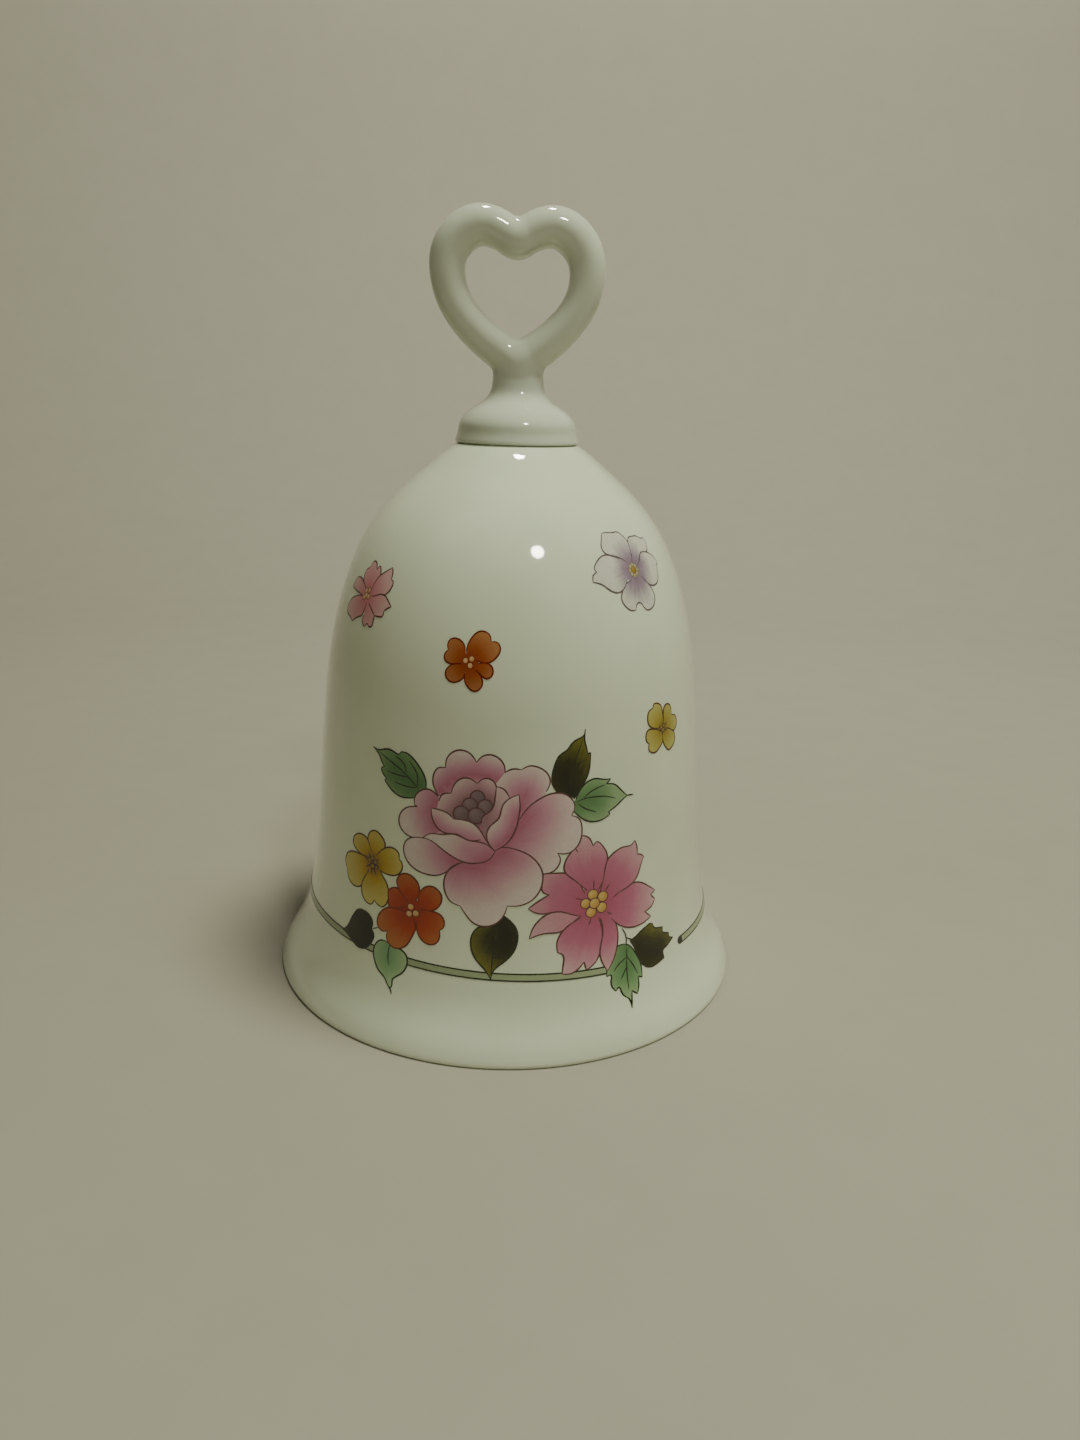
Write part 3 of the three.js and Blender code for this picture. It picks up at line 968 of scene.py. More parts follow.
def lay_leaves(sheet):
    sheet.shape("dark_leaf", "leaf_lines", [
        [(19.3, 16.9), (20.5, 17.3), (21.7, 17.9), (22.8, 18.3), (23.4, 18.5), (24.1, 18.3)],
        [(24.3, 17.6), (25.0, 17.2), (26.4, 16.9)], [(26.3, 16.0), (27.0, 15.6), (27.8, 15.3)],
        [(27.7, 14.7), (28.8, 14.1)], [(27.6, 13.6), (26.8, 13.2)], [(26.0, 13.0), (26.0, 11.6)],
        [(24.5, 11.3), (23.0, 11.2), (22.0, 11.6), (21.0, 12.8), (20.4, 14.5), (19.8, 16.0), (19.3, 16.9)],
    ], wash=[(21.0, 15.2), (22.8, 13.5), (24.8, 13.4)], reach=4.6)
    sheet.veins("leaf_lines", [
        [(21.5, 15.6), (24, 15.1), (27.2, 14.3)], [(22.6, 15.4), (24.0, 16.4), (25.3, 16.7)],
        [(23.5, 15.1), (25, 13.6), (25.4, 12.2)],
    ], 0.17)
    sheet.shape("fresh_leaf", "leaf_lines", [
        [(18.0, 16.7), (17.0, 16.6), (16.2, 15.9), (15.4, 14.6), (14.9, 13.2), (14.8, 12.1)],
        [(15.5, 12.2), (15.4, 11.0), (16.0, 9.4)], [(16.6, 9.9), (17.0, 8.7), (17.7, 7.9)],
        [(18.0, 7.5), (18.1, 6.0)], [(18.4, 7.4), (18.7, 8.7)], [(19.5, 7.9)],
        [(20.1, 9.4), (20.2, 10.6)], [(20.9, 10.2)],
        [(21.0, 11.7), (20.9, 12.7), (20.4, 14.0), (19.6, 15.5), (18.8, 16.4), (18.0, 16.7)],
    ], wash=[(18.6, 16.4), (18.4, 12.5)], reach=4.2)
    sheet.veins("leaf_lines", [
        [(18.6, 15.9), (18.5, 14.8), (18.3, 12.5), (18.2, 9.0)], [(18.4, 14.6), (19.6, 12.5), (20.2, 11)],
        [(18.4, 12.9), (17.1, 11)], [(18.5, 14.4), (17.0, 13.6), (16.0, 12.6)],
        [(17.9, 19.4), (18.5, 18.2), (18.6, 17.0), (18.5, 16.2)], [(18.6, 17.7), (19.3, 17.2), (20, 17)],
    ])
    sheet.shape("olive_leaf", "leaf_lines", [
        [(-0.7, 23.8), (0.5, 22.7), (1.3, 21.3), (1.4, 19.8), (0.9, 18.0), (0.0, 16.7), (-1.2, 15.6),
         (-2.0, 14.7), (-2.3, 13.3)],
        [(-3.2, 14.8), (-4.4, 16.2), (-5.1, 17.5), (-5.4, 19.2), (-5.2, 20.5), (-4.4, 21.6), (-3.2, 22.0)],
    ], [(-1.6, 23.4)], wash=[(-1.0, 22.8), (0.1, 20.6), (-0.4, 18.6), (-1.4, 19.8)], reach=4.4)
    sheet.veins("leaf_lines", [
        [(-1.5, 22.0), (-2.1, 17.5), (-2.3, 13.8)], [(-2.1, 18), (-3.4, 17.6)],
        [(-2.2, 16.6), (-1.2, 17.2)],
    ])
    sheet.shape("night_leaf", "leaf_lines", [
        [(-28.3, 15.0), (-27.3, 15.9), (-26.6, 17.4), (-25.9, 18.8), (-25.0, 19.8), (-23.8, 20.0),
         (-22.5, 19.6), (-21.8, 18.6), (-21.9, 17.6)],
        [(-21.3, 16.6), (-21.6, 15.4), (-22.5, 14.1), (-23.7, 13.6), (-25.2, 13.9), (-26.7, 14.6),
         (-28.3, 15.0)],
    ], wash=[(-22.6, 16.4), (-24.6, 18.0)], reach=5.5)
    sheet.veins("leaf_lines", [[(-21.8, 17.6), (-20.6, 18.2)]])
    sheet.veins("night_leaf", [[(-22.6, 17.4), (-24.5, 16.9), (-27.4, 15.4)]], 0.1)
    sheet.shape("mint_leaf", "leaf_lines", [
        [(-18.6, 16.3), (-19.9, 16.3), (-20.8, 15.3), (-21.0, 14.0), (-20.4, 12.4), (-19.4, 11.2),
         (-18.4, 10.6), (-17.7, 9.7), (-17.2, 9.1)],
        [(-16.9, 9.6), (-17.0, 10.5), (-16.3, 11.4), (-15.3, 12.5), (-14.9, 14.0), (-15.2, 15.1),
         (-16.2, 15.8), (-17.3, 15.9), (-18.6, 16.3)],
    ], wash=[(-18.4, 16.2), (-18.2, 13.5)], reach=3.6)
    sheet.veins("leaf_lines", [[(-18.1, 16.2), (-18.3, 14.7), (-18.0, 12.7)], [(-17.2, 9.4), (-16.7, 8.3)]])
    sheet.shape("olive_leaf", "leaf_lines", [
        [(7.0, 43.6), (6.2, 45.2), (6.3, 46.8), (6.7, 48.2), (7.4, 49.4), (8.7, 50.3), (9.2, 51.0),
         (10.2, 51.7), (11.3, 52.3), (11.5, 53.2)],
        [(11.4, 51.3), (11.7, 50.2), (11.9, 49.3)], [(12.4, 49.4)],
        [(12.3, 48.0), (12.1, 46.6), (11.6, 45.3), (10.9, 44.2), (10.2, 43.0), (9.7, 42.4)],
    ], [(9.0, 42.8), (7.7, 43.5)], wash=[(9.2, 43.4), (8.3, 46.4)], reach=5.6)
    sheet.veins("leaf_lines", [
        [(9.0, 43.8), (9.3, 46.5), (10.3, 49.6), (11.1, 51.8)], [(9.4, 47.0), (10.6, 48.0), (11.4, 48.3)],
        [(6.6, 44.7), (6.6, 46.4), (7.1, 48.2), (8.0, 49.4)],
    ], 0.17)
    sheet.shape("fresh_leaf", "leaf_lines", [
        [(10.0, 42.3), (10.8, 43.9), (11.8, 44.8), (13.3, 45.2), (14.6, 44.9), (15.9, 44.8)],
        [(15.1, 44.1)],
        [(16.6, 43.8), (17.8, 42.7), (19.0, 41.6)], [(18.0, 41.0), (16.8, 40.2), (15.5, 39.5)],
        [(15.8, 39.1)],
        [(14.6, 38.5), (13.0, 38.3), (11.4, 38.8), (10.2, 39.8), (9.6, 40.4)],
    ], [(9.4, 41.4)], wash=[(9.8, 41.6), (13, 42)], reach=3.8)
    sheet.veins("leaf_lines", [
        [(10.0, 41.8), (11.3, 42.2), (13.0, 42.3), (15.0, 42.1), (16.8, 41.5)],
        [(11.2, 42.3), (12.4, 43.2), (14.0, 43.8), (15.0, 44.0)],
        [(10.3, 41.6), (11.2, 40.8), (12.4, 40.2), (13.4, 39.8)], [(18.9, 41.6), (20.3, 41.5)],
    ])
    sheet.shape("green_leaf", "leaf_lines", [
        [(-13.2, 43.1), (-13.2, 43.8), (-13.5, 45.0), (-14.4, 46.3), (-15.6, 47.5), (-17.0, 48.2),
         (-17.9, 48.2)],
        [(-18.1, 47.8), (-19.5, 48.0), (-21.0, 48.0), (-22.4, 47.6), (-23.2, 47.6)],
        [(-22.9, 47.4), (-22.2, 46.9), (-21.7, 46.0), (-21.0, 45.2)],
        [(-21.6, 44.8), (-21.2, 44.0), (-20.4, 43.3)],
        [(-20.8, 43.1), (-20.4, 42.6), (-19.4, 41.8), (-17.9, 41.1), (-16.2, 41.1), (-15.1, 41.3)],
    ], [(-14.8, 42.1), (-14.1, 42.9)], wash=[(-14.6, 43.2), (-18.4, 45.0)], reach=4.4)
    sheet.veins("leaf_lines", [
        [(-14.6, 43.0), (-16.0, 44.2), (-18.0, 45.5), (-20.5, 46.6), (-22.4, 47.5)],
        [(-14.7, 43.2), (-14.7, 44.8), (-15.3, 46.0), (-16.4, 47.1)],
        [(-16.8, 45.0), (-16.9, 45.8), (-17.7, 46.8), (-19.0, 47.3)],
        [(-14.8, 43.0), (-16.5, 42.9), (-18.9, 43.2)],
        [(-16.4, 44.4), (-18.0, 44.4), (-20.3, 44.6)], [(-22.8, 47.6), (-23.7, 47.8)],
    ])


def lay_magenta_flower(sheet):
    """Seven pointed petals round a knot of yellow anthers."""
    petal = sheet.flower("magenta", (13.2, 24.6), 11.5, dab=(13.2, 24.6, 3.3))
    petal([
        [(10.9, 23.0), (9.3, 21.8), (7.8, 20.8), (5.5, 20.7), (3.1, 20.0)],
        [(3.6, 21.6), (4.6, 23.0), (5.9, 23.9), (7.6, 24.1), (9.6, 23.5)],
    ], start=0.62)
    petal([
        [(11.0, 22.7), (9.2, 21.8), (7.9, 20.6), (7.2, 19.0), (7.3, 17.4)],
        [(8.0, 17.0), (8.1, 15.3), (7.9, 13.8)],
        [(9.3, 13.7), (10.5, 14.4), (11.3, 15.3)], [(11.6, 13.9)],
        [(12.8, 14.6), (13.8, 16.0), (14.3, 18.0), (14.4, 20.0), (13.8, 22.2)],
    ], hidden=[(13, 23)])
    petal([
        [(15.4, 22.5), (16.6, 21.0), (17.1, 19.0), (16.9, 16.8), (16.1, 14.6), (15.0, 13.0)],
        [(14.2, 14.6), (13.9, 16.3), (14.2, 18.0), (14.5, 19.5), (14.2, 22)],
    ])
    petal([
        [(11.6, 26.6), (10.9, 28.0), (10.1, 29.4), (9.0, 30.2), (7.5, 30.5), (5.1, 30.5)],
        [(4.9, 29.0), (5.0, 27.6), (6.0, 27.0)], [(4.6, 26.2), (2.9, 24.9)],
        [(4.2, 24.1), (5.8, 24.0), (7.6, 24.1), (9.5, 23.4), (11.0, 22.9)],
    ], hidden=[(12.6, 24.5)])
    petal([
        [(12, 27), (9.6, 29.3), (8.3, 30.8), (8.5, 32.5), (9.5, 34.0), (10.9, 36.3)],
        [(12.0, 35.9), (12.9, 34.3)],
        [(13.4, 34.9), (14.7, 33.8), (15.4, 32.1), (15.2, 30.4), (14.8, 28.6), (13.8, 26.8)],
    ], hidden=[(13, 25.6)])
    petal([
        [(13.9, 25.8), (14.9, 29.6), (15.4, 31.5), (16.7, 32.6), (18.5, 33.1), (19.9, 33.1), (20.6, 33.7)],
        [(21.0, 32.7), (21.1, 31.2)], [(21.7, 31.1), (22.5, 30.5)],
        [(22.0, 29.5), (21.4, 28.0), (20.2, 26.6), (18.5, 25.9), (17.0, 25.2), (16.0, 24.6)],
    ])
    petal([
        [(16.4, 25.0), (17.4, 25.6), (18.8, 26.0), (20.2, 26.5), (21.8, 26.2), (23.2, 25.3),
         (25.0, 23.9)],
        [(23.9, 23.4)],
        [(24.9, 22.4)], [(24.2, 21.5), (22.5, 20.9)], [(23.8, 19.7)],
        [(22.4, 19.2), (20.6, 19.0), (18.9, 19.3), (17.3, 20.2), (16.0, 21.6)],
    ], hidden=[(15.0, 23.2)])
    sheet.veins("magenta_lines", [
        [(13.0, 27.2), (13.1, 28.7)], [(15.0, 26.5), (15.9, 27.5)], [(11.3, 25.6), (10.1, 26.0)],
        [(12.6, 22.4), (12.2, 21.2)], [(10.0, 34.3), (10.4, 33.6)], [(15.2, 22.9), (16.2, 22.2)],
        [(14.0, 22.2), (14.2, 21.0)],
    ])
    sheet.beads("magenta_anthers", "magenta_lines", [
        (12.9, 26.2, 0.95), (14.6, 25.6, 0.95), (11.7, 24.9, 0.9), (14.4, 23.8, 0.95), (12.6, 23.3, 0.95),
        (13.2, 24.7, 0.95),
    ])


def lay_yellow_flower(sheet):
    """Five round petals with brown filaments."""
    petal = sheet.flower("yellow", (-22.6, 28.6), 6.4, dab=(-22.4, 28.8, 1.9))
    petal([
        [(-22.6, 29.5), (-23.6, 31.5), (-23.9, 32.4), (-23.5, 33.6), (-22.3, 34.2), (-21.0, 33.6),
         (-20.2, 32.3), (-20.4, 31.5), (-21.9, 30.1)],
    ])
    petal([
        [(-24.2, 29.2), (-25.6, 29.2), (-27.6, 29.0), (-28.9, 28.2), (-29.3, 26.8), (-28.7, 25.6)],
        [(-28.4, 24.6), (-27.6, 23.7), (-26.4, 23.4), (-25.1, 23.8), (-24.4, 24.6), (-23.9, 26.0),
         (-23.4, 27.3)],
    ], hidden=[(-22.6, 28.4)])
    petal([
        [(-23.5, 29.4), (-24.8, 29.3), (-26.5, 29.7), (-27.4, 30.6), (-27.2, 31.8), (-26.3, 32.5),
         (-25.0, 32.7), (-23.9, 32.2), (-23.5, 31.5), (-22.8, 30.3)],
    ], hidden=[(-22.5, 29)])
    petal([
        [(-23.4, 27.0), (-24.3, 25.6), (-24.8, 24.0), (-24.5, 22.6), (-23.6, 21.7), (-22.4, 21.6),
         (-21.9, 22.5)],
        [(-21.1, 22.0), (-20.1, 21.9), (-19.3, 22.9), (-19.1, 24.5), (-19.6, 26.0), (-20.4, 27.0),
         (-21.0, 27.8)],
    ], hidden=[(-22.2, 28.6)])
    petal([
        [(-21.9, 30.1), (-21.0, 31.2), (-19.7, 32.1), (-18.4, 32.2), (-17.5, 31.5), (-17.5, 30.8)],
        [(-16.9, 30.1), (-16.9, 29.0), (-17.7, 28.0), (-19.0, 27.6), (-20.5, 27.7), (-21.5, 28.0)],
    ], hidden=[(-22.6, 28.6)])
    sheet.veins("yellow_filaments", [
        [(-22.6, 28.5), (x, y)] for x, y in (
            (-24.6, 29.2), (-24.0, 27.6), (-22.9, 26.6), (-21.8, 26.8), (-21.1, 28.4), (-21.4, 29.6),
            (-22.4, 30.4), (-23.6, 30.2),
        )
    ], 0.3)
    sheet.beads("yellow_anthers", "yellow_filaments", [
        (-23.3, 28.9, 0.42), (-22.0, 28.9, 0.42), (-22.6, 28.1, 0.45), (-22.7, 29.4, 0.4),
        (-21.8, 28.1, 0.36),
    ], 0.14)


def lay_orange_flower(sheet):
    """Five round petals lapping one way."""
    petal = sheet.flower("orange", (-14.8, 22.8), 6.6, dab=(-14.9, 22.8, 2.0))
    petal([
        [(-14.6, 21.6), (-14.0, 20.3), (-14.5, 18.4), (-15.4, 16.7), (-16.9, 15.8), (-18.2, 16.1),
         (-18.9, 17.1), (-18.8, 18.2)],
        [(-19.9, 17.9), (-20.8, 18.7), (-20.8, 20.1), (-19.9, 21.5), (-18.6, 22.3), (-17.0, 22.4),
         (-15.8, 22.3)],
    ])
    petal([
        [(-16.0, 23.1), (-17.6, 22.4), (-18.9, 22.4), (-19.1, 23.6), (-19.2, 24.8), (-18.3, 25.7),
         (-17.1, 25.7), (-16.1, 24.7), (-15.7, 24.0)],
    ], hidden=[(-15, 23.2)])
    petal([
        [(-13.9, 22.6), (-12.9, 23.3), (-11.4, 23.3), (-10.1, 22.9), (-9.5, 21.9), (-9.7, 20.8),
         (-10.2, 20.4)],
        [(-10.1, 19.3), (-10.7, 18.1), (-11.9, 17.8), (-13.1, 18.5), (-13.8, 19.8), (-14.0, 21.2)],
    ], hidden=[(-14.5, 22.2)])
    petal([
        [(-13.8, 24.5), (-13.8, 25.6), (-13.1, 26.8), (-12.0, 27.4), (-10.9, 27.1), (-10.1, 26.1),
         (-10.2, 24.8), (-11.0, 23.7), (-12.0, 23.3), (-13.2, 23.4)],
    ], hidden=[(-14.3, 23.2)])
    petal([
        [(-15.9, 24.3), (-17.2, 25.7), (-17.7, 26.9), (-17.2, 28.1), (-15.9, 28.6), (-14.6, 28.1),
         (-13.8, 27.0), (-13.8, 25.5), (-14.3, 24.4)],
    ], hidden=[(-14.9, 23.4)])
    sheet.beads("orange_anthers", "orange_lines", [
        (-15.0, 23.3, 0.6), (-15.2, 22.1, 0.58), (-14.1, 22.4, 0.6),
    ], 0.12)


def lay_peony(sheet):
    """Six open petals, then the cup of folded ones round a knot of mauve beads."""
    petal = functools.partial(sheet.shape, "peony_petals", "peony_lines")
    fold = functools.partial(sheet.shape, "peony_cup", "peony_lines")
    middle = [(-12, 41), (-2, 46), (2, 42), (2, 36), (-3, 33), (-9, 32.6), (-12.6, 35.6)]
    sheet.lay("peony_petals", middle, [(-5, 38)], 12)
    petal([
        [(-11.1, 42.3), (-12.0, 44.0), (-12.0, 45.6), (-11.3, 46.7), (-10.1, 46.9)],
        [(-10.0, 48.2), (-9.0, 49.5), (-7.5, 49.9), (-6.1, 49.3), (-5.3, 48.2)],
        [(-4.4, 49.2), (-3.2, 49.5), (-1.8, 48.9), (-1.0, 47.6), (-1.0, 46.5)],
    ], hidden=[(-1.2, 44), (-3, 42), (-9, 41.8)],
        wash=[(-10.8, 43.0), (-8.6, 45.6), (-5, 46.4), (-1.6, 45.6)], reach=3.4)
    petal([
        [(-1.0, 46.8), (0.2, 47.4), (1.5, 47.3)],
        [(2.8, 47.9), (4.2, 47.6), (5.5, 46.6), (5.9, 45.2), (5.3, 43.8)],
    ], hidden=[(4.6, 42.0), (2.6, 40.2), (1.2, 38.5), (-2, 40), (-3, 44)],
        wash=[(1.4, 41.0), (2.0, 43.4)], reach=4.4)
    petal([
        [(-11.1, 42.2), (-12.7, 43.1), (-14.2, 42.6), (-15.1, 41.2), (-15.0, 40.1)],
        [(-14.5, 40.0)],
        [(-16.2, 39.6), (-17.5, 38.3), (-17.7, 36.8), (-17.0, 35.6), (-15.5, 34.9), (-13.8, 35.0),
         (-12.6, 35.5)],
    ], hidden=[(-10, 37), (-11.0, 40)],
        wash=[(-11.4, 41.4), (-12.0, 39.5), (-11.4, 37.2)], reach=4.6)
    petal([
        [(-12.9, 35.1), (-14.6, 35.0), (-16.2, 34.2), (-16.7, 32.7), (-16.2, 31.1), (-14.9, 29.9),
         (-12.9, 29.3), (-10.9, 29.4), (-9.5, 30.2), (-8.6, 31.2), (-7.3, 32.0)],
    ], hidden=[(-8.5, 33.2), (-10.5, 34.4)], wash=[(-7.6, 31.6), (-9.0, 33.4)], reach=6.0)
    petal([
        [(1.3, 39.4), (2.5, 41.2), (4.2, 42.6), (6.0, 43.4), (7.7, 43.4), (9.1, 42.6), (9.8, 41.2),
         (9.3, 39.7)],
        [(10.4, 39.2), (11.0, 37.5), (10.8, 35.6), (9.9, 34.2), (8.6, 33.6), (7.2, 33.8)],
        [(7.6, 33.0), (7.4, 31.8), (6.2, 30.7), (5.0, 30.6)],
    ], hidden=[(3, 32), (0, 34.4), (-1.8, 34.6), (-0.6, 36.2), (0.6, 38.0)],
        wash=[(-0.6, 35.6), (1.2, 38.2), (2.2, 40.2)], reach=7.6)
    petal([
        [(-2.3, 34.2), (-1.2, 34.9), (0.7, 34.7), (2.6, 33.9), (4.1, 32.5), (4.9, 30.9), (4.9, 28.9),
         (4.3, 27.3), (3.0, 26.0), (1.2, 25.4), (-0.2, 25.4)],
        [(-0.6, 24.0), (-1.6, 22.6), (-3.2, 21.9), (-4.9, 22.2), (-6.3, 23.6), (-7.2, 24.9)],
        [(-8.6, 25.4), (-9.6, 27.0), (-9.8, 28.6), (-9.3, 30.2), (-8.0, 31.5), (-7.0, 32.1)],
    ], hidden=[(-5, 32.6), (-3.2, 33.4)],
        wash=[(-7.2, 31.6), (-4.4, 31.8), (-2.2, 33.2), (-0.6, 34.2)], reach=7.2)
    fold([
        [(-11.0, 41.5), (-10.5, 42.6), (-9.1, 43.0)],
        [(-8.7, 44.3), (-7.7, 45.4), (-6.3, 45.6), (-5.1, 44.9)],
        [(-4.2, 45.7), (-2.9, 45.6), (-2.2, 44.6), (-2.2, 43.0), (-2.8, 41.2)],
    ], hidden=[(-3.6, 39.5), (-4.6, 38.0), (-9, 38.6), (-11.4, 39.8)],
        wash=[(-4.2, 38.2), (-8.6, 39.6), (-7.2, 41.6), (-5, 43.4), (-3, 42.4)], reach=3.0)
    sheet.beads("peony_beads", "peony_lines", [
        (-5.0, 42.7, 1.2), (-6.1, 41.4, 1.25), (-3.8, 41.3, 1.25), (-7.4, 39.9, 1.35), (-5.1, 39.8, 1.35),
    ], 0.2)
    fold([
        [(-4.3, 38.6), (-4.2, 39.6), (-3.0, 40.7), (-2.4, 42.4), (-2.2, 44.6)],
        [(-1.2, 44.3), (-0.2, 42.9)],
    ], hidden=[(-1.1, 41.9), (-1.2, 39.4), (-2.4, 37.4), (-3.2, 36.0), (-4.2, 37.2)],
        wash=[(-4.2, 37.4), (-3.4, 39.6)], reach=5.0, start=0.15)
    petal([
        [(1.2, 43.4), (0.0, 42.9), (-1.2, 41.6), (-1.8, 39.5), (-2.8, 38.5), (-3.5, 36.8), (-3.2, 35.6),
         (-2.2, 34.3)],
        [(-0.6, 35.5), (0.5, 37.1), (1.2, 39.5), (1.4, 41.5), (1.2, 43.4)],
    ], wash=[(-2.0, 34.8), (0.3, 37.4), (1.2, 40.4)], reach=3.0)
    petal([
        [(-4.4, 36.0), (-6.4, 35.8), (-7.9, 36.5), (-9.8, 36.5), (-11.2, 37.3), (-12.0, 38.7),
         (-12.2, 40.2)],
        [(-10.8, 40.1), (-9.3, 39.6), (-8.6, 38.9)],
        [(-6.7, 38.9), (-5.2, 38.3), (-4.2, 37.1), (-3.0, 35.2), (-2.2, 34.3)],
    ], hidden=[(-3.4, 34.6)],
        wash=[(-11.6, 38.0), (-9.6, 36.6), (-6, 36.0), (-3.4, 35.4)], reach=2.6, start=0.2)
    petal([
        [(-2.2, 34.2), (-3.0, 35.0), (-4.5, 35.6), (-6.3, 35.8), (-8.3, 36.5), (-10.3, 36.2), (-12.3, 36.0),
         (-13.4, 35.2)],
        [(-12.3, 35.0), (-10.5, 34.0), (-8.5, 32.8), (-6.5, 32.1), (-4.6, 32.2), (-2.9, 33.0),
         (-2.2, 34.2)],
    ], wash=[(-2.4, 33.6), (-4.6, 32.6)], reach=6.4, start=0.05)


def lay_small_pink(sheet):
    """Notched petals, high on the left."""
    petal = sheet.flower("small_pink", (-31, 70.8), 6.2, dab=(-30.6, 70.6, 2.2))
    petal([
        [(-32.4, 72.0), (-33.8, 73.6), (-33.8, 74.6)], [(-32.5, 75.3)],
        [(-32.0, 76.3), (-30.8, 76.1), (-30.0, 75.1)],
        [(-29.4, 75.8), (-28.5, 74.9), (-28.2, 74.1), (-29.8, 71.8)],
    ])
    petal([
        [(-29.8, 71.6), (-28.8, 73.9), (-27.5, 74.9), (-26.4, 75.5), (-25.5, 76.0)],
        [(-25.0, 75.1), (-24.9, 74.1)],
        [(-24.3, 73.9), (-24.3, 72.9), (-25.0, 72.0), (-25.7, 71.5)], [(-29.4, 70.8)],
    ])
    petal([
        [(-30, 67.8), (-30.4, 67.2), (-30.0, 66.4), (-29.2, 66.0)],
        [(-28.6, 66.6), (-28.2, 66.3), (-27.2, 66.4), (-27.1, 67.2), (-27.0, 68.1)], [(-29.6, 69.8)],
    ], hidden=[(-30.8, 70)])
    petal([
        [(-29.4, 70.9), (-28.5, 71.0), (-26.9, 71.5), (-25.3, 71.4), (-24.2, 70.7), (-23.3, 70.0)],
        [(-24.5, 69.4), (-24.9, 69.0)], [(-24.8, 68.5), (-25.8, 68.1), (-27.0, 68.1)], [(-29.6, 69.8)],
    ])
    petal([
        [(-30.2, 69.8), (-31.0, 67.5), (-32.3, 67.0), (-33.8, 66.1)],
        [(-35.0, 66.7), (-36.4, 67.0), (-37.2, 67.5)],
        [(-37.0, 68.6), (-36.1, 69.5), (-35.0, 70.0), (-33.5, 70.4), (-32, 70.5)],
    ])
    petal([
        [(-32.0, 70.5), (-33.7, 70.8), (-35.2, 71.0), (-37.5, 71.3)], [(-37.0, 72.3)], [(-36.5, 73.0)],
        [(-35.0, 73.2), (-33.6, 72.8), (-32.5, 72.3), (-31.4, 71.5)],
    ])
    sheet.beads("small_pink_anthers", "small_pink_lines", [
        (-31.0, 70.8, 0.6), (-30.3, 71.7, 0.5), (-30.1, 70.7, 0.5), (-31.3, 71.5, 0.5), (-31.5, 70.4, 0.5),
    ], 0.12)


def lay_small_orange(sheet):
    """Five round petals, high in the middle."""
    petal = sheet.flower("small_orange", (-7.1, 63.3), 5.0, dab=(-7.1, 63.2, 1.5))
    petal([
        [(-7.7, 61.5), (-7.7, 60.6), (-7.1, 59.6), (-6.1, 59.0), (-5.2, 59.4), (-4.8, 60.4), (-5.1, 61.3),
         (-6.0, 62.2)],
    ], hidden=[(-6.8, 63)])
    petal([
        [(-5.9, 62.2), (-5.1, 61.5), (-4.3, 61.0), (-3.5, 61.3), (-3.2, 62.1), (-3.6, 63.0), (-4.3, 63.3),
         (-5.6, 63.2)],
    ], hidden=[(-6.6, 63.2)])
    petal([
        [(-8.3, 62.9), (-9.5, 62.9), (-10.4, 62.4), (-10.9, 61.6), (-10.6, 60.6), (-9.7, 60.1),
         (-8.7, 60.3), (-8.0, 60.8), (-7.7, 61.6)],
    ], hidden=[(-7.0, 62.8)])
    petal([
        [(-7.9, 65.0), (-8.1, 65.8), (-8.9, 66.5), (-9.8, 66.7), (-10.7, 66.3), (-10.9, 65.4),
         (-10.7, 64.9)],
        [(-11.3, 64.2), (-11.2, 63.4), (-10.5, 62.9), (-9.3, 62.9), (-8.4, 63.1)],
    ], hidden=[(-7.2, 63.6)])
    petal([
        [(-7.7, 64.9), (-7.5, 65.9), (-6.9, 67.0), (-5.9, 67.9), (-4.9, 68.0), (-4.0, 67.5), (-3.7, 66.5)],
        [(-2.8, 66.5), (-2.2, 65.8), (-2.3, 64.9), (-3.1, 63.9), (-3.9, 63.4), (-5.0, 63.4), (-6, 63.6)],
    ], hidden=[(-7.0, 63.6)])
    sheet.beads("small_orange_anthers", "small_orange_lines", [
        (-7.7, 63.5, 0.5), (-6.7, 63.8, 0.5), (-6.9, 62.8, 0.5),
    ], 0.11)


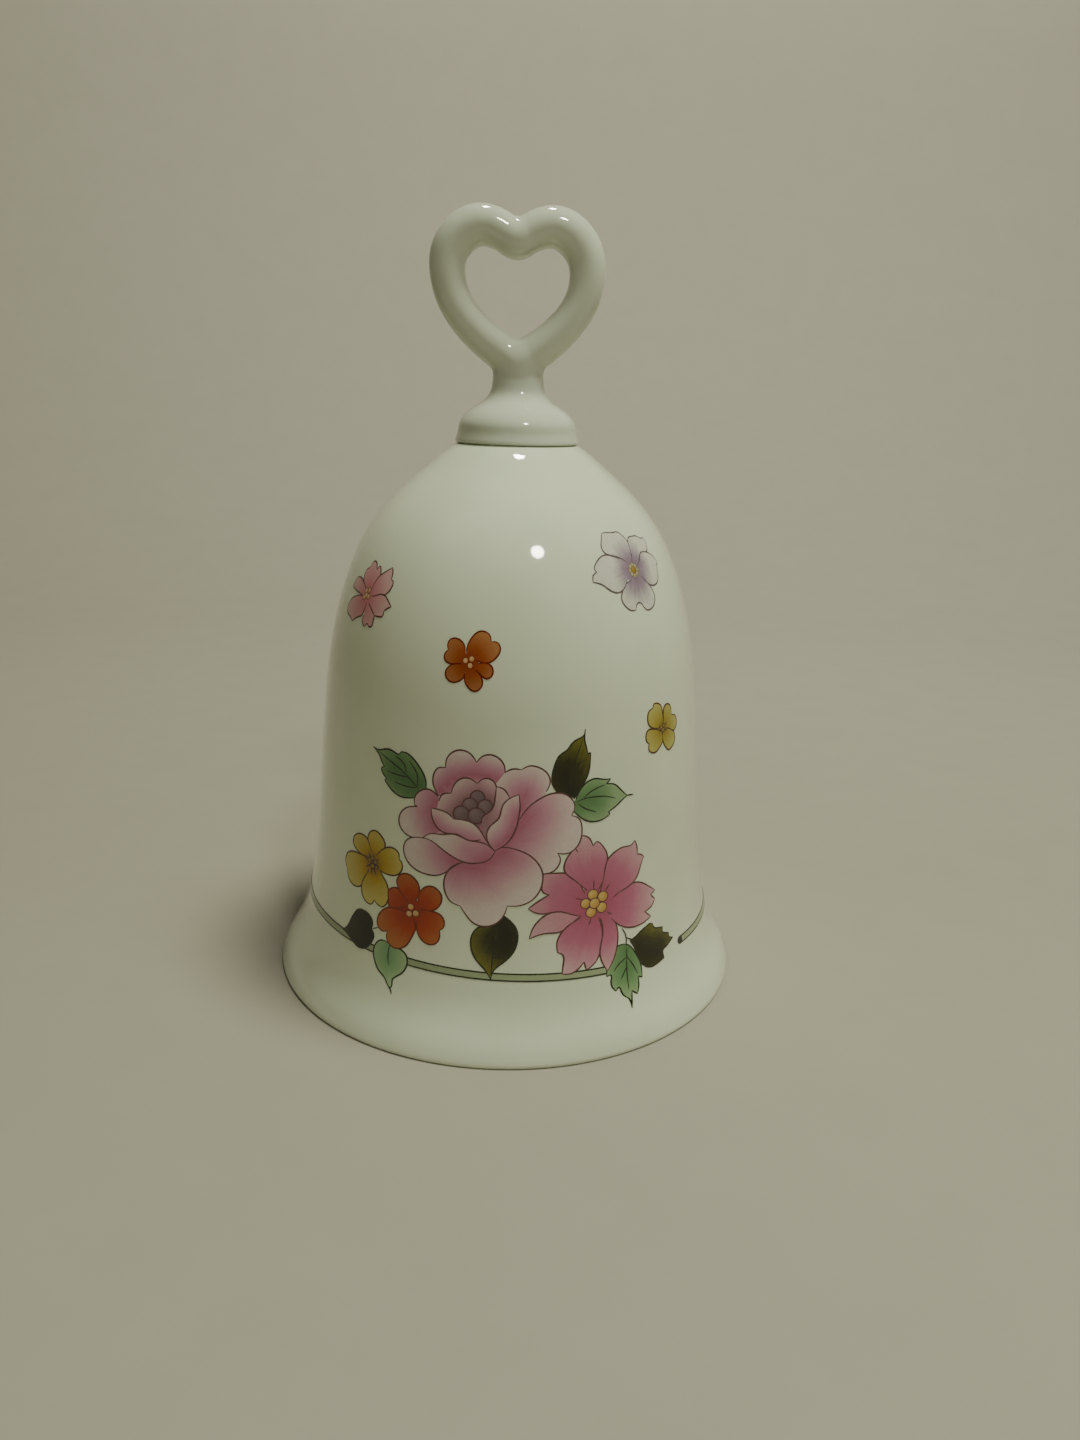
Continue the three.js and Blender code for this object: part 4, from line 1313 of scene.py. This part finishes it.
def lay_small_yellow(sheet):
    """Four petals, one of them cleft, high on the right."""
    petal = sheet.flower("small_yellow", (27.4, 50.9), 4.6, dab=(27.4, 51.0, 1.1))
    petal([
        [(28.0, 50.6), (30.6, 49.7), (31.0, 48.7), (30.8, 47.8), (30.0, 47.2), (29.2, 46.9), (28.2, 47.5),
         (27.5, 48.5), (27.3, 49.8)],
    ], hidden=[(27.3, 50.9)])
    petal([
        [(27.1, 50.5), (24.6, 51.3), (23.5, 51.2), (23.1, 50.3), (23.3, 49.5), (23.9, 49.0)],
        [(23.7, 48.2), (24.4, 47.5), (25.5, 47.4), (26.4, 47.9), (27.2, 48.6), (27.3, 49.7)],
    ], hidden=[(27.4, 50.6)])
    petal([
        [(26.7, 51.1), (24.6, 51.5), (23.8, 52.2), (23.6, 53.2), (23.9, 54.2), (24.9, 54.6)],
        [(25.2, 55.2), (26.2, 55.2), (27.0, 54.7), (27.4, 53.5), (27.6, 52.0)],
    ], hidden=[(27.5, 51.0)])
    petal([
        [(27.7, 52.0), (27.7, 53.5), (28.0, 54.3), (28.9, 54.6), (29.7, 54.2), (30.0, 53.3), (30.1, 52.5)],
        [(31.1, 52.3), (31.7, 51.5), (31.6, 50.5), (30.8, 49.8), (29.2, 50.5), (28.2, 50.8)],
    ], hidden=[(27.4, 51.0)])
    sheet.veins("small_yellow_filaments", [
        [(27.4, 50.9), (x, y)] for x, y in (
            (26.3, 51.4), (27.5, 52.1), (28.6, 51.6), (28.4, 50.3), (27.2, 49.8), (26.4, 50.4),
        )
    ], 0.3)
    sheet.beads("small_yellow_anthers", "small_yellow_filaments", [
        (27.0, 51.1, 0.36), (27.7, 51.3, 0.36), (27.5, 50.6, 0.38),
    ], 0.12)


def lay_small_lilac(sheet):
    """Five wide petals, high on the right."""
    petal = sheet.flower("lilac", (25, 76.6), 7.2, dab=(25, 76.6, 2.4))
    petal([
        [(23.5, 75.0), (22, 74.6), (20.8, 73.5), (20.3, 72.3), (20.9, 71.2), (22.2, 70.4), (23.2, 70.4)],
        [(23.7, 71.2), (24.8, 71.4), (25.3, 70.8)],
        [(26.0, 70.2), (27.5, 70.2), (28.7, 70.9), (29.3, 72.3), (28.7, 73.5), (27.0, 75.0)],
    ], hidden=[(25, 76.4)])
    petal([
        [(26.0, 81.0), (26.9, 81.9), (28.2, 82.0), (29.6, 82.0), (31.0, 81.5), (32.5, 81.5)],
        [(32.3, 80.2), (31.6, 79.3), (30.8, 79.1), (28.5, 78.9), (27.2, 77.8)],
    ], hidden=[(25.6, 77)])
    petal([
        [(22.4, 75.0), (21.0, 73.7), (19.7, 73.4), (18.2, 73.8), (16.8, 74.7), (15.8, 75.1), (14.7, 75.3)],
        [(14.9, 76.3), (15.9, 76.8)],
        [(15.5, 77.2), (16.3, 78.4), (17.6, 79.2), (19.2, 79.4), (20.7, 79.0), (22.3, 78.6)],
    ], hidden=[(24.8, 77.0), (24.6, 76.0)])
    petal([
        [(23.6, 78.0), (22.3, 78.7), (20.0, 79.3), (18.5, 80.0), (18.3, 80.8), (18.8, 81.8), (19.5, 83.0)],
        [(21.0, 83.1), (22.5, 83.0), (24.2, 83.0), (25.1, 82.4), (26.0, 81.3), (25.8, 79.5), (25.2, 77.8)],
    ], hidden=[(24.8, 76.8)])
    petal([
        [(26.4, 77.2), (27.6, 78.0), (28.6, 79.0), (30.2, 79.2), (31.6, 78.9), (33.0, 78.2),
         (34.0, 77.1)],
        [(33.0, 76.5)],
        [(32.6, 75.2), (31.6, 74.1), (30.3, 73.7), (28.9, 73.8), (27.7, 74.5), (26.6, 75.5)],
    ], hidden=[(25.2, 76.6)])
    sheet.beads("lilac_anthers", "lilac_lines", [
        (25 + 1.0 * math.cos(t), 76.6 + 0.85 * math.sin(t), 0.42) for t in np.arange(8) * math.pi / 4
    ], 0.08)
    sheet.beads("lilac_middle", "lilac_lines", [(25, 76.6, 0.62)], 0.08)


def make_flowers():
    """The transfers: one bouquet and the band low on the shell, and four sprigs above."""
    pink = enamel("peony_pink", (0.43, 0.11, 0.195), (0.57, 0.285, 0.38), (0.69, 0.585, 0.565), 0.45)
    mauve = enamel("peony_mauve", (0.23, 0.10, 0.14), (0.46, 0.25, 0.305), (0.64, 0.465, 0.485), 0.45)
    magenta = enamel("magenta_pink", (0.37, 0.058, 0.13), (0.495, 0.145, 0.25), (0.62, 0.375, 0.42), 0.6)
    yellow = enamel("chrome_yellow", (0.17, 0.035, 0.001), (0.47, 0.30, 0.006), (0.62, 0.55, 0.16), 0.42)
    orange = enamel("iron_orange", (0.30, 0.014, 0.001), (0.42, 0.042, 0.003), (0.48, 0.15, 0.035), 0.5)
    rust = enamel("rust_orange", (0.25, 0.028, 0.003), (0.33, 0.075, 0.014), (0.45, 0.20, 0.08), 0.45)
    dull_yellow = enamel("dull_yellow", (0.14, 0.06, 0.001), (0.34, 0.26, 0.02), (0.50, 0.45, 0.14), 0.35)
    lilac = enamel("lilac", (0.17, 0.115, 0.16), (0.30, 0.225, 0.30), (0.63, 0.63, 0.555), 0.38, 0.3, far=0.8)
    pale_pink = enamel("pale_pink", (0.52, 0.12, 0.16), (0.60, 0.24, 0.28), (0.68, 0.42, 0.43), 0.45)
    olive = enamel(
        "olive_green", (0.008, 0.0075, 0.001), (0.028, 0.026, 0.002), (0.16, 0.15, 0.018), 0.4, 0.3,
    )
    night = enamel(
        "night_green", (0.006, 0.007, 0.0015), (0.012, 0.013, 0.003), (0.035, 0.036, 0.008), 0.5, 0.3,
    )
    fresh = enamel("fresh_green", (0.09, 0.20, 0.074), (0.155, 0.285, 0.125), (0.29, 0.41, 0.225), 0.5)
    mint = enamel("mint_green", (0.17, 0.345, 0.165), (0.27, 0.44, 0.225), (0.42, 0.55, 0.33), 0.5)
    green = enamel("leaf_green", (0.07, 0.165, 0.06), (0.125, 0.24, 0.10), (0.235, 0.35, 0.165), 0.5)
    plum_ink = ink("plum_ink", (0.10, 0.03, 0.035), (0.20, 0.08, 0.08))
    brown_ink = ink("brown_ink", (0.07, 0.022, 0.006), (0.15, 0.06, 0.015))
    red_ink = ink("red_ink", (0.13, 0.008, 0.002), (0.24, 0.03, 0.006))
    green_ink = ink("green_ink", (0.012, 0.018, 0.006), (0.04, 0.05, 0.02))
    grey_ink = ink("grey_ink", (0.12, 0.09, 0.11), (0.24, 0.19, 0.21))
    black_ink = ink("band_black", (0.006, 0.007, 0.005), (0.015, 0.018, 0.01))
    band = enamel("band_green", (0.285, 0.34, 0.20), (0.315, 0.37, 0.22), (0.335, 0.39, 0.24), 0.5)
    anther_yellow = enamel("anther_yellow", (0.74, 0.55, 0.20), (0.62, 0.38, 0.11), (0.46, 0.24, 0.06), 0.5)
    anther_cream = enamel("anther_cream", (0.72, 0.56, 0.33), (0.66, 0.40, 0.20), (0.50, 0.20, 0.08), 0.6)
    anther_mauve = enamel("anther_mauve", (0.27, 0.18, 0.21), (0.21, 0.13, 0.16), (0.14, 0.075, 0.10), 0.5)
    straw = enamel("anther_straw", (0.50, 0.46, 0.28), (0.42, 0.37, 0.20), (0.28, 0.22, 0.10), 0.5)
    gold = enamel("dull_gold", (0.40, 0.29, 0.05), (0.32, 0.20, 0.03), (0.20, 0.11, 0.01), 0.5)

    bouquet = Sheet()
    lay_band(bouquet)
    lay_leaves(bouquet)
    lay_magenta_flower(bouquet)
    lay_yellow_flower(bouquet)
    lay_orange_flower(bouquet)
    lay_peony(bouquet)
    bouquet.fire({
        "band": band, "band_edges": green_ink, "band_end": black_ink,
        "dark_leaf": olive, "fresh_leaf": fresh, "olive_leaf": olive, "night_leaf": night, "mint_leaf": mint,
        "green_leaf": green, "leaf_lines": green_ink,
        "magenta_petals": magenta, "magenta_lines": plum_ink, "magenta_anthers": anther_yellow,
        "yellow_petals": yellow, "yellow_lines": brown_ink, "yellow_filaments": brown_ink,
        "yellow_anthers": gold,
        "orange_petals": orange, "orange_lines": red_ink, "orange_anthers": anther_cream,
        "peony_petals": pink, "peony_cup": mauve, "peony_lines": plum_ink, "peony_beads": anther_mauve,
    })
    for lay, name, finishes in (
        (lay_small_pink, "small_pink", {"petals": pale_pink, "lines": plum_ink, "anthers": anther_cream}),
        (lay_small_orange, "small_orange", {"petals": rust, "lines": red_ink, "anthers": anther_cream}),
        (lay_small_yellow, "small_yellow", {
            "petals": dull_yellow, "lines": brown_ink, "filaments": brown_ink, "anthers": gold,
        }),
        (lay_small_lilac, "lilac", {"petals": lilac, "lines": grey_ink, "anthers": straw, "middle": gold}),
    ):
        sprig = Sheet()
        lay(sprig)
        sprig.fire({f"{name}_{part}": finish for part, finish in finishes.items()})


make_flowers()


# ---------------------------------------------------------------- stage and light

def make_stage():
    """A pale floor that sweeps up into a round wall on every side."""
    flat, bend, height, sides = 600, 300, 1500, 96
    middle = -300  # the floor's middle lies in front of the bell, a little behind the camera
    sweep = [(flat / 2, 0.0), (flat, 0.0)]
    for turn in np.linspace(0.1, math.pi / 2, 14):
        sweep.append((flat + bend * math.sin(turn), bend - bend * math.cos(turn)))
    sweep.append((flat + bend, height))
    around = np.arange(sides) * 2 * math.pi / sides
    points = [(r * math.cos(a), r * math.sin(a) + middle, z) for r, z in sweep for a in around]
    faces = [tuple(range(sides))]
    for ring in range(len(sweep) - 1):
        for i in range(sides):
            j = (i + 1) % sides
            low, high = ring * sides, (ring + 1) * sides
            faces.append((low + i, high + i, high + j, low + j))
    mesh = bpy.data.meshes.new("floor")
    mesh.from_pydata([(x * MM, y * MM, z * MM) for x, y, z in points], [], faces)
    mesh.materials.append(matt_paint("pale_floor", (0.38, 0.36, 0.305)))
    mesh.shade_smooth()
    floor = bpy.data.objects.new("floor", mesh)
    bpy.context.scene.collection.objects.link(floor)


def lamp(name, place, aim, size, power, tint, seen=True, lights=True):
    """A round lamp. One that isn't seen lights the bell without showing in its glaze.

    One that doesn't light only shows as a highlight in the glaze."""
    light = bpy.data.lights.new(name, "AREA")
    light.shape = "DISK"
    light.size = size * MM
    light.energy = power
    light.color = tint
    shining = bpy.data.objects.new(name, light)
    shining.location = Vector(place) * MM
    shining.visible_glossy = seen
    shining.visible_diffuse = lights
    shining.rotation_euler = (Vector(aim) - Vector(place)).to_track_quat("-Z", "Y").to_euler()
    bpy.context.scene.collection.objects.link(shining)


def make_lights():
    """A bulb and a ceiling light from the right, a wash on the wall, and two glints in the glaze."""
    bulb_place, shell_middle = (117, -300, 466), (0, 0, 50)
    glint_tint = (1.0, 0.99, 0.90)
    lamp("bulb", bulb_place, shell_middle, 66, 0.62, (1.0, 0.98, 0.80))
    lamp("ceiling_light", (190, -40, 700), shell_middle, 200, 4.5, (0.97, 1.0, 0.78), seen=False)
    lamp("bulb_glint", bulb_place, shell_middle, 60, 0.8, glint_tint, lights=False)
    lamp("ceiling_glint", (20, 150, 720), (0, 0, 80), 80, 1.6, glint_tint, lights=False)
    lamp("wall_wash", (60, 180, 560), (60, 600, 450), 500, 2.0, (1.0, 0.98, 0.84), seen=False)
    world = bpy.data.worlds.new("room")
    world.use_nodes = True
    background = world.node_tree.nodes["Background"]
    background.inputs["Color"].default_value = (0.97, 1.0, 0.76, 1)
    background.inputs["Strength"].default_value = 0.007
    bpy.context.scene.world = world


make_stage()
make_lights()
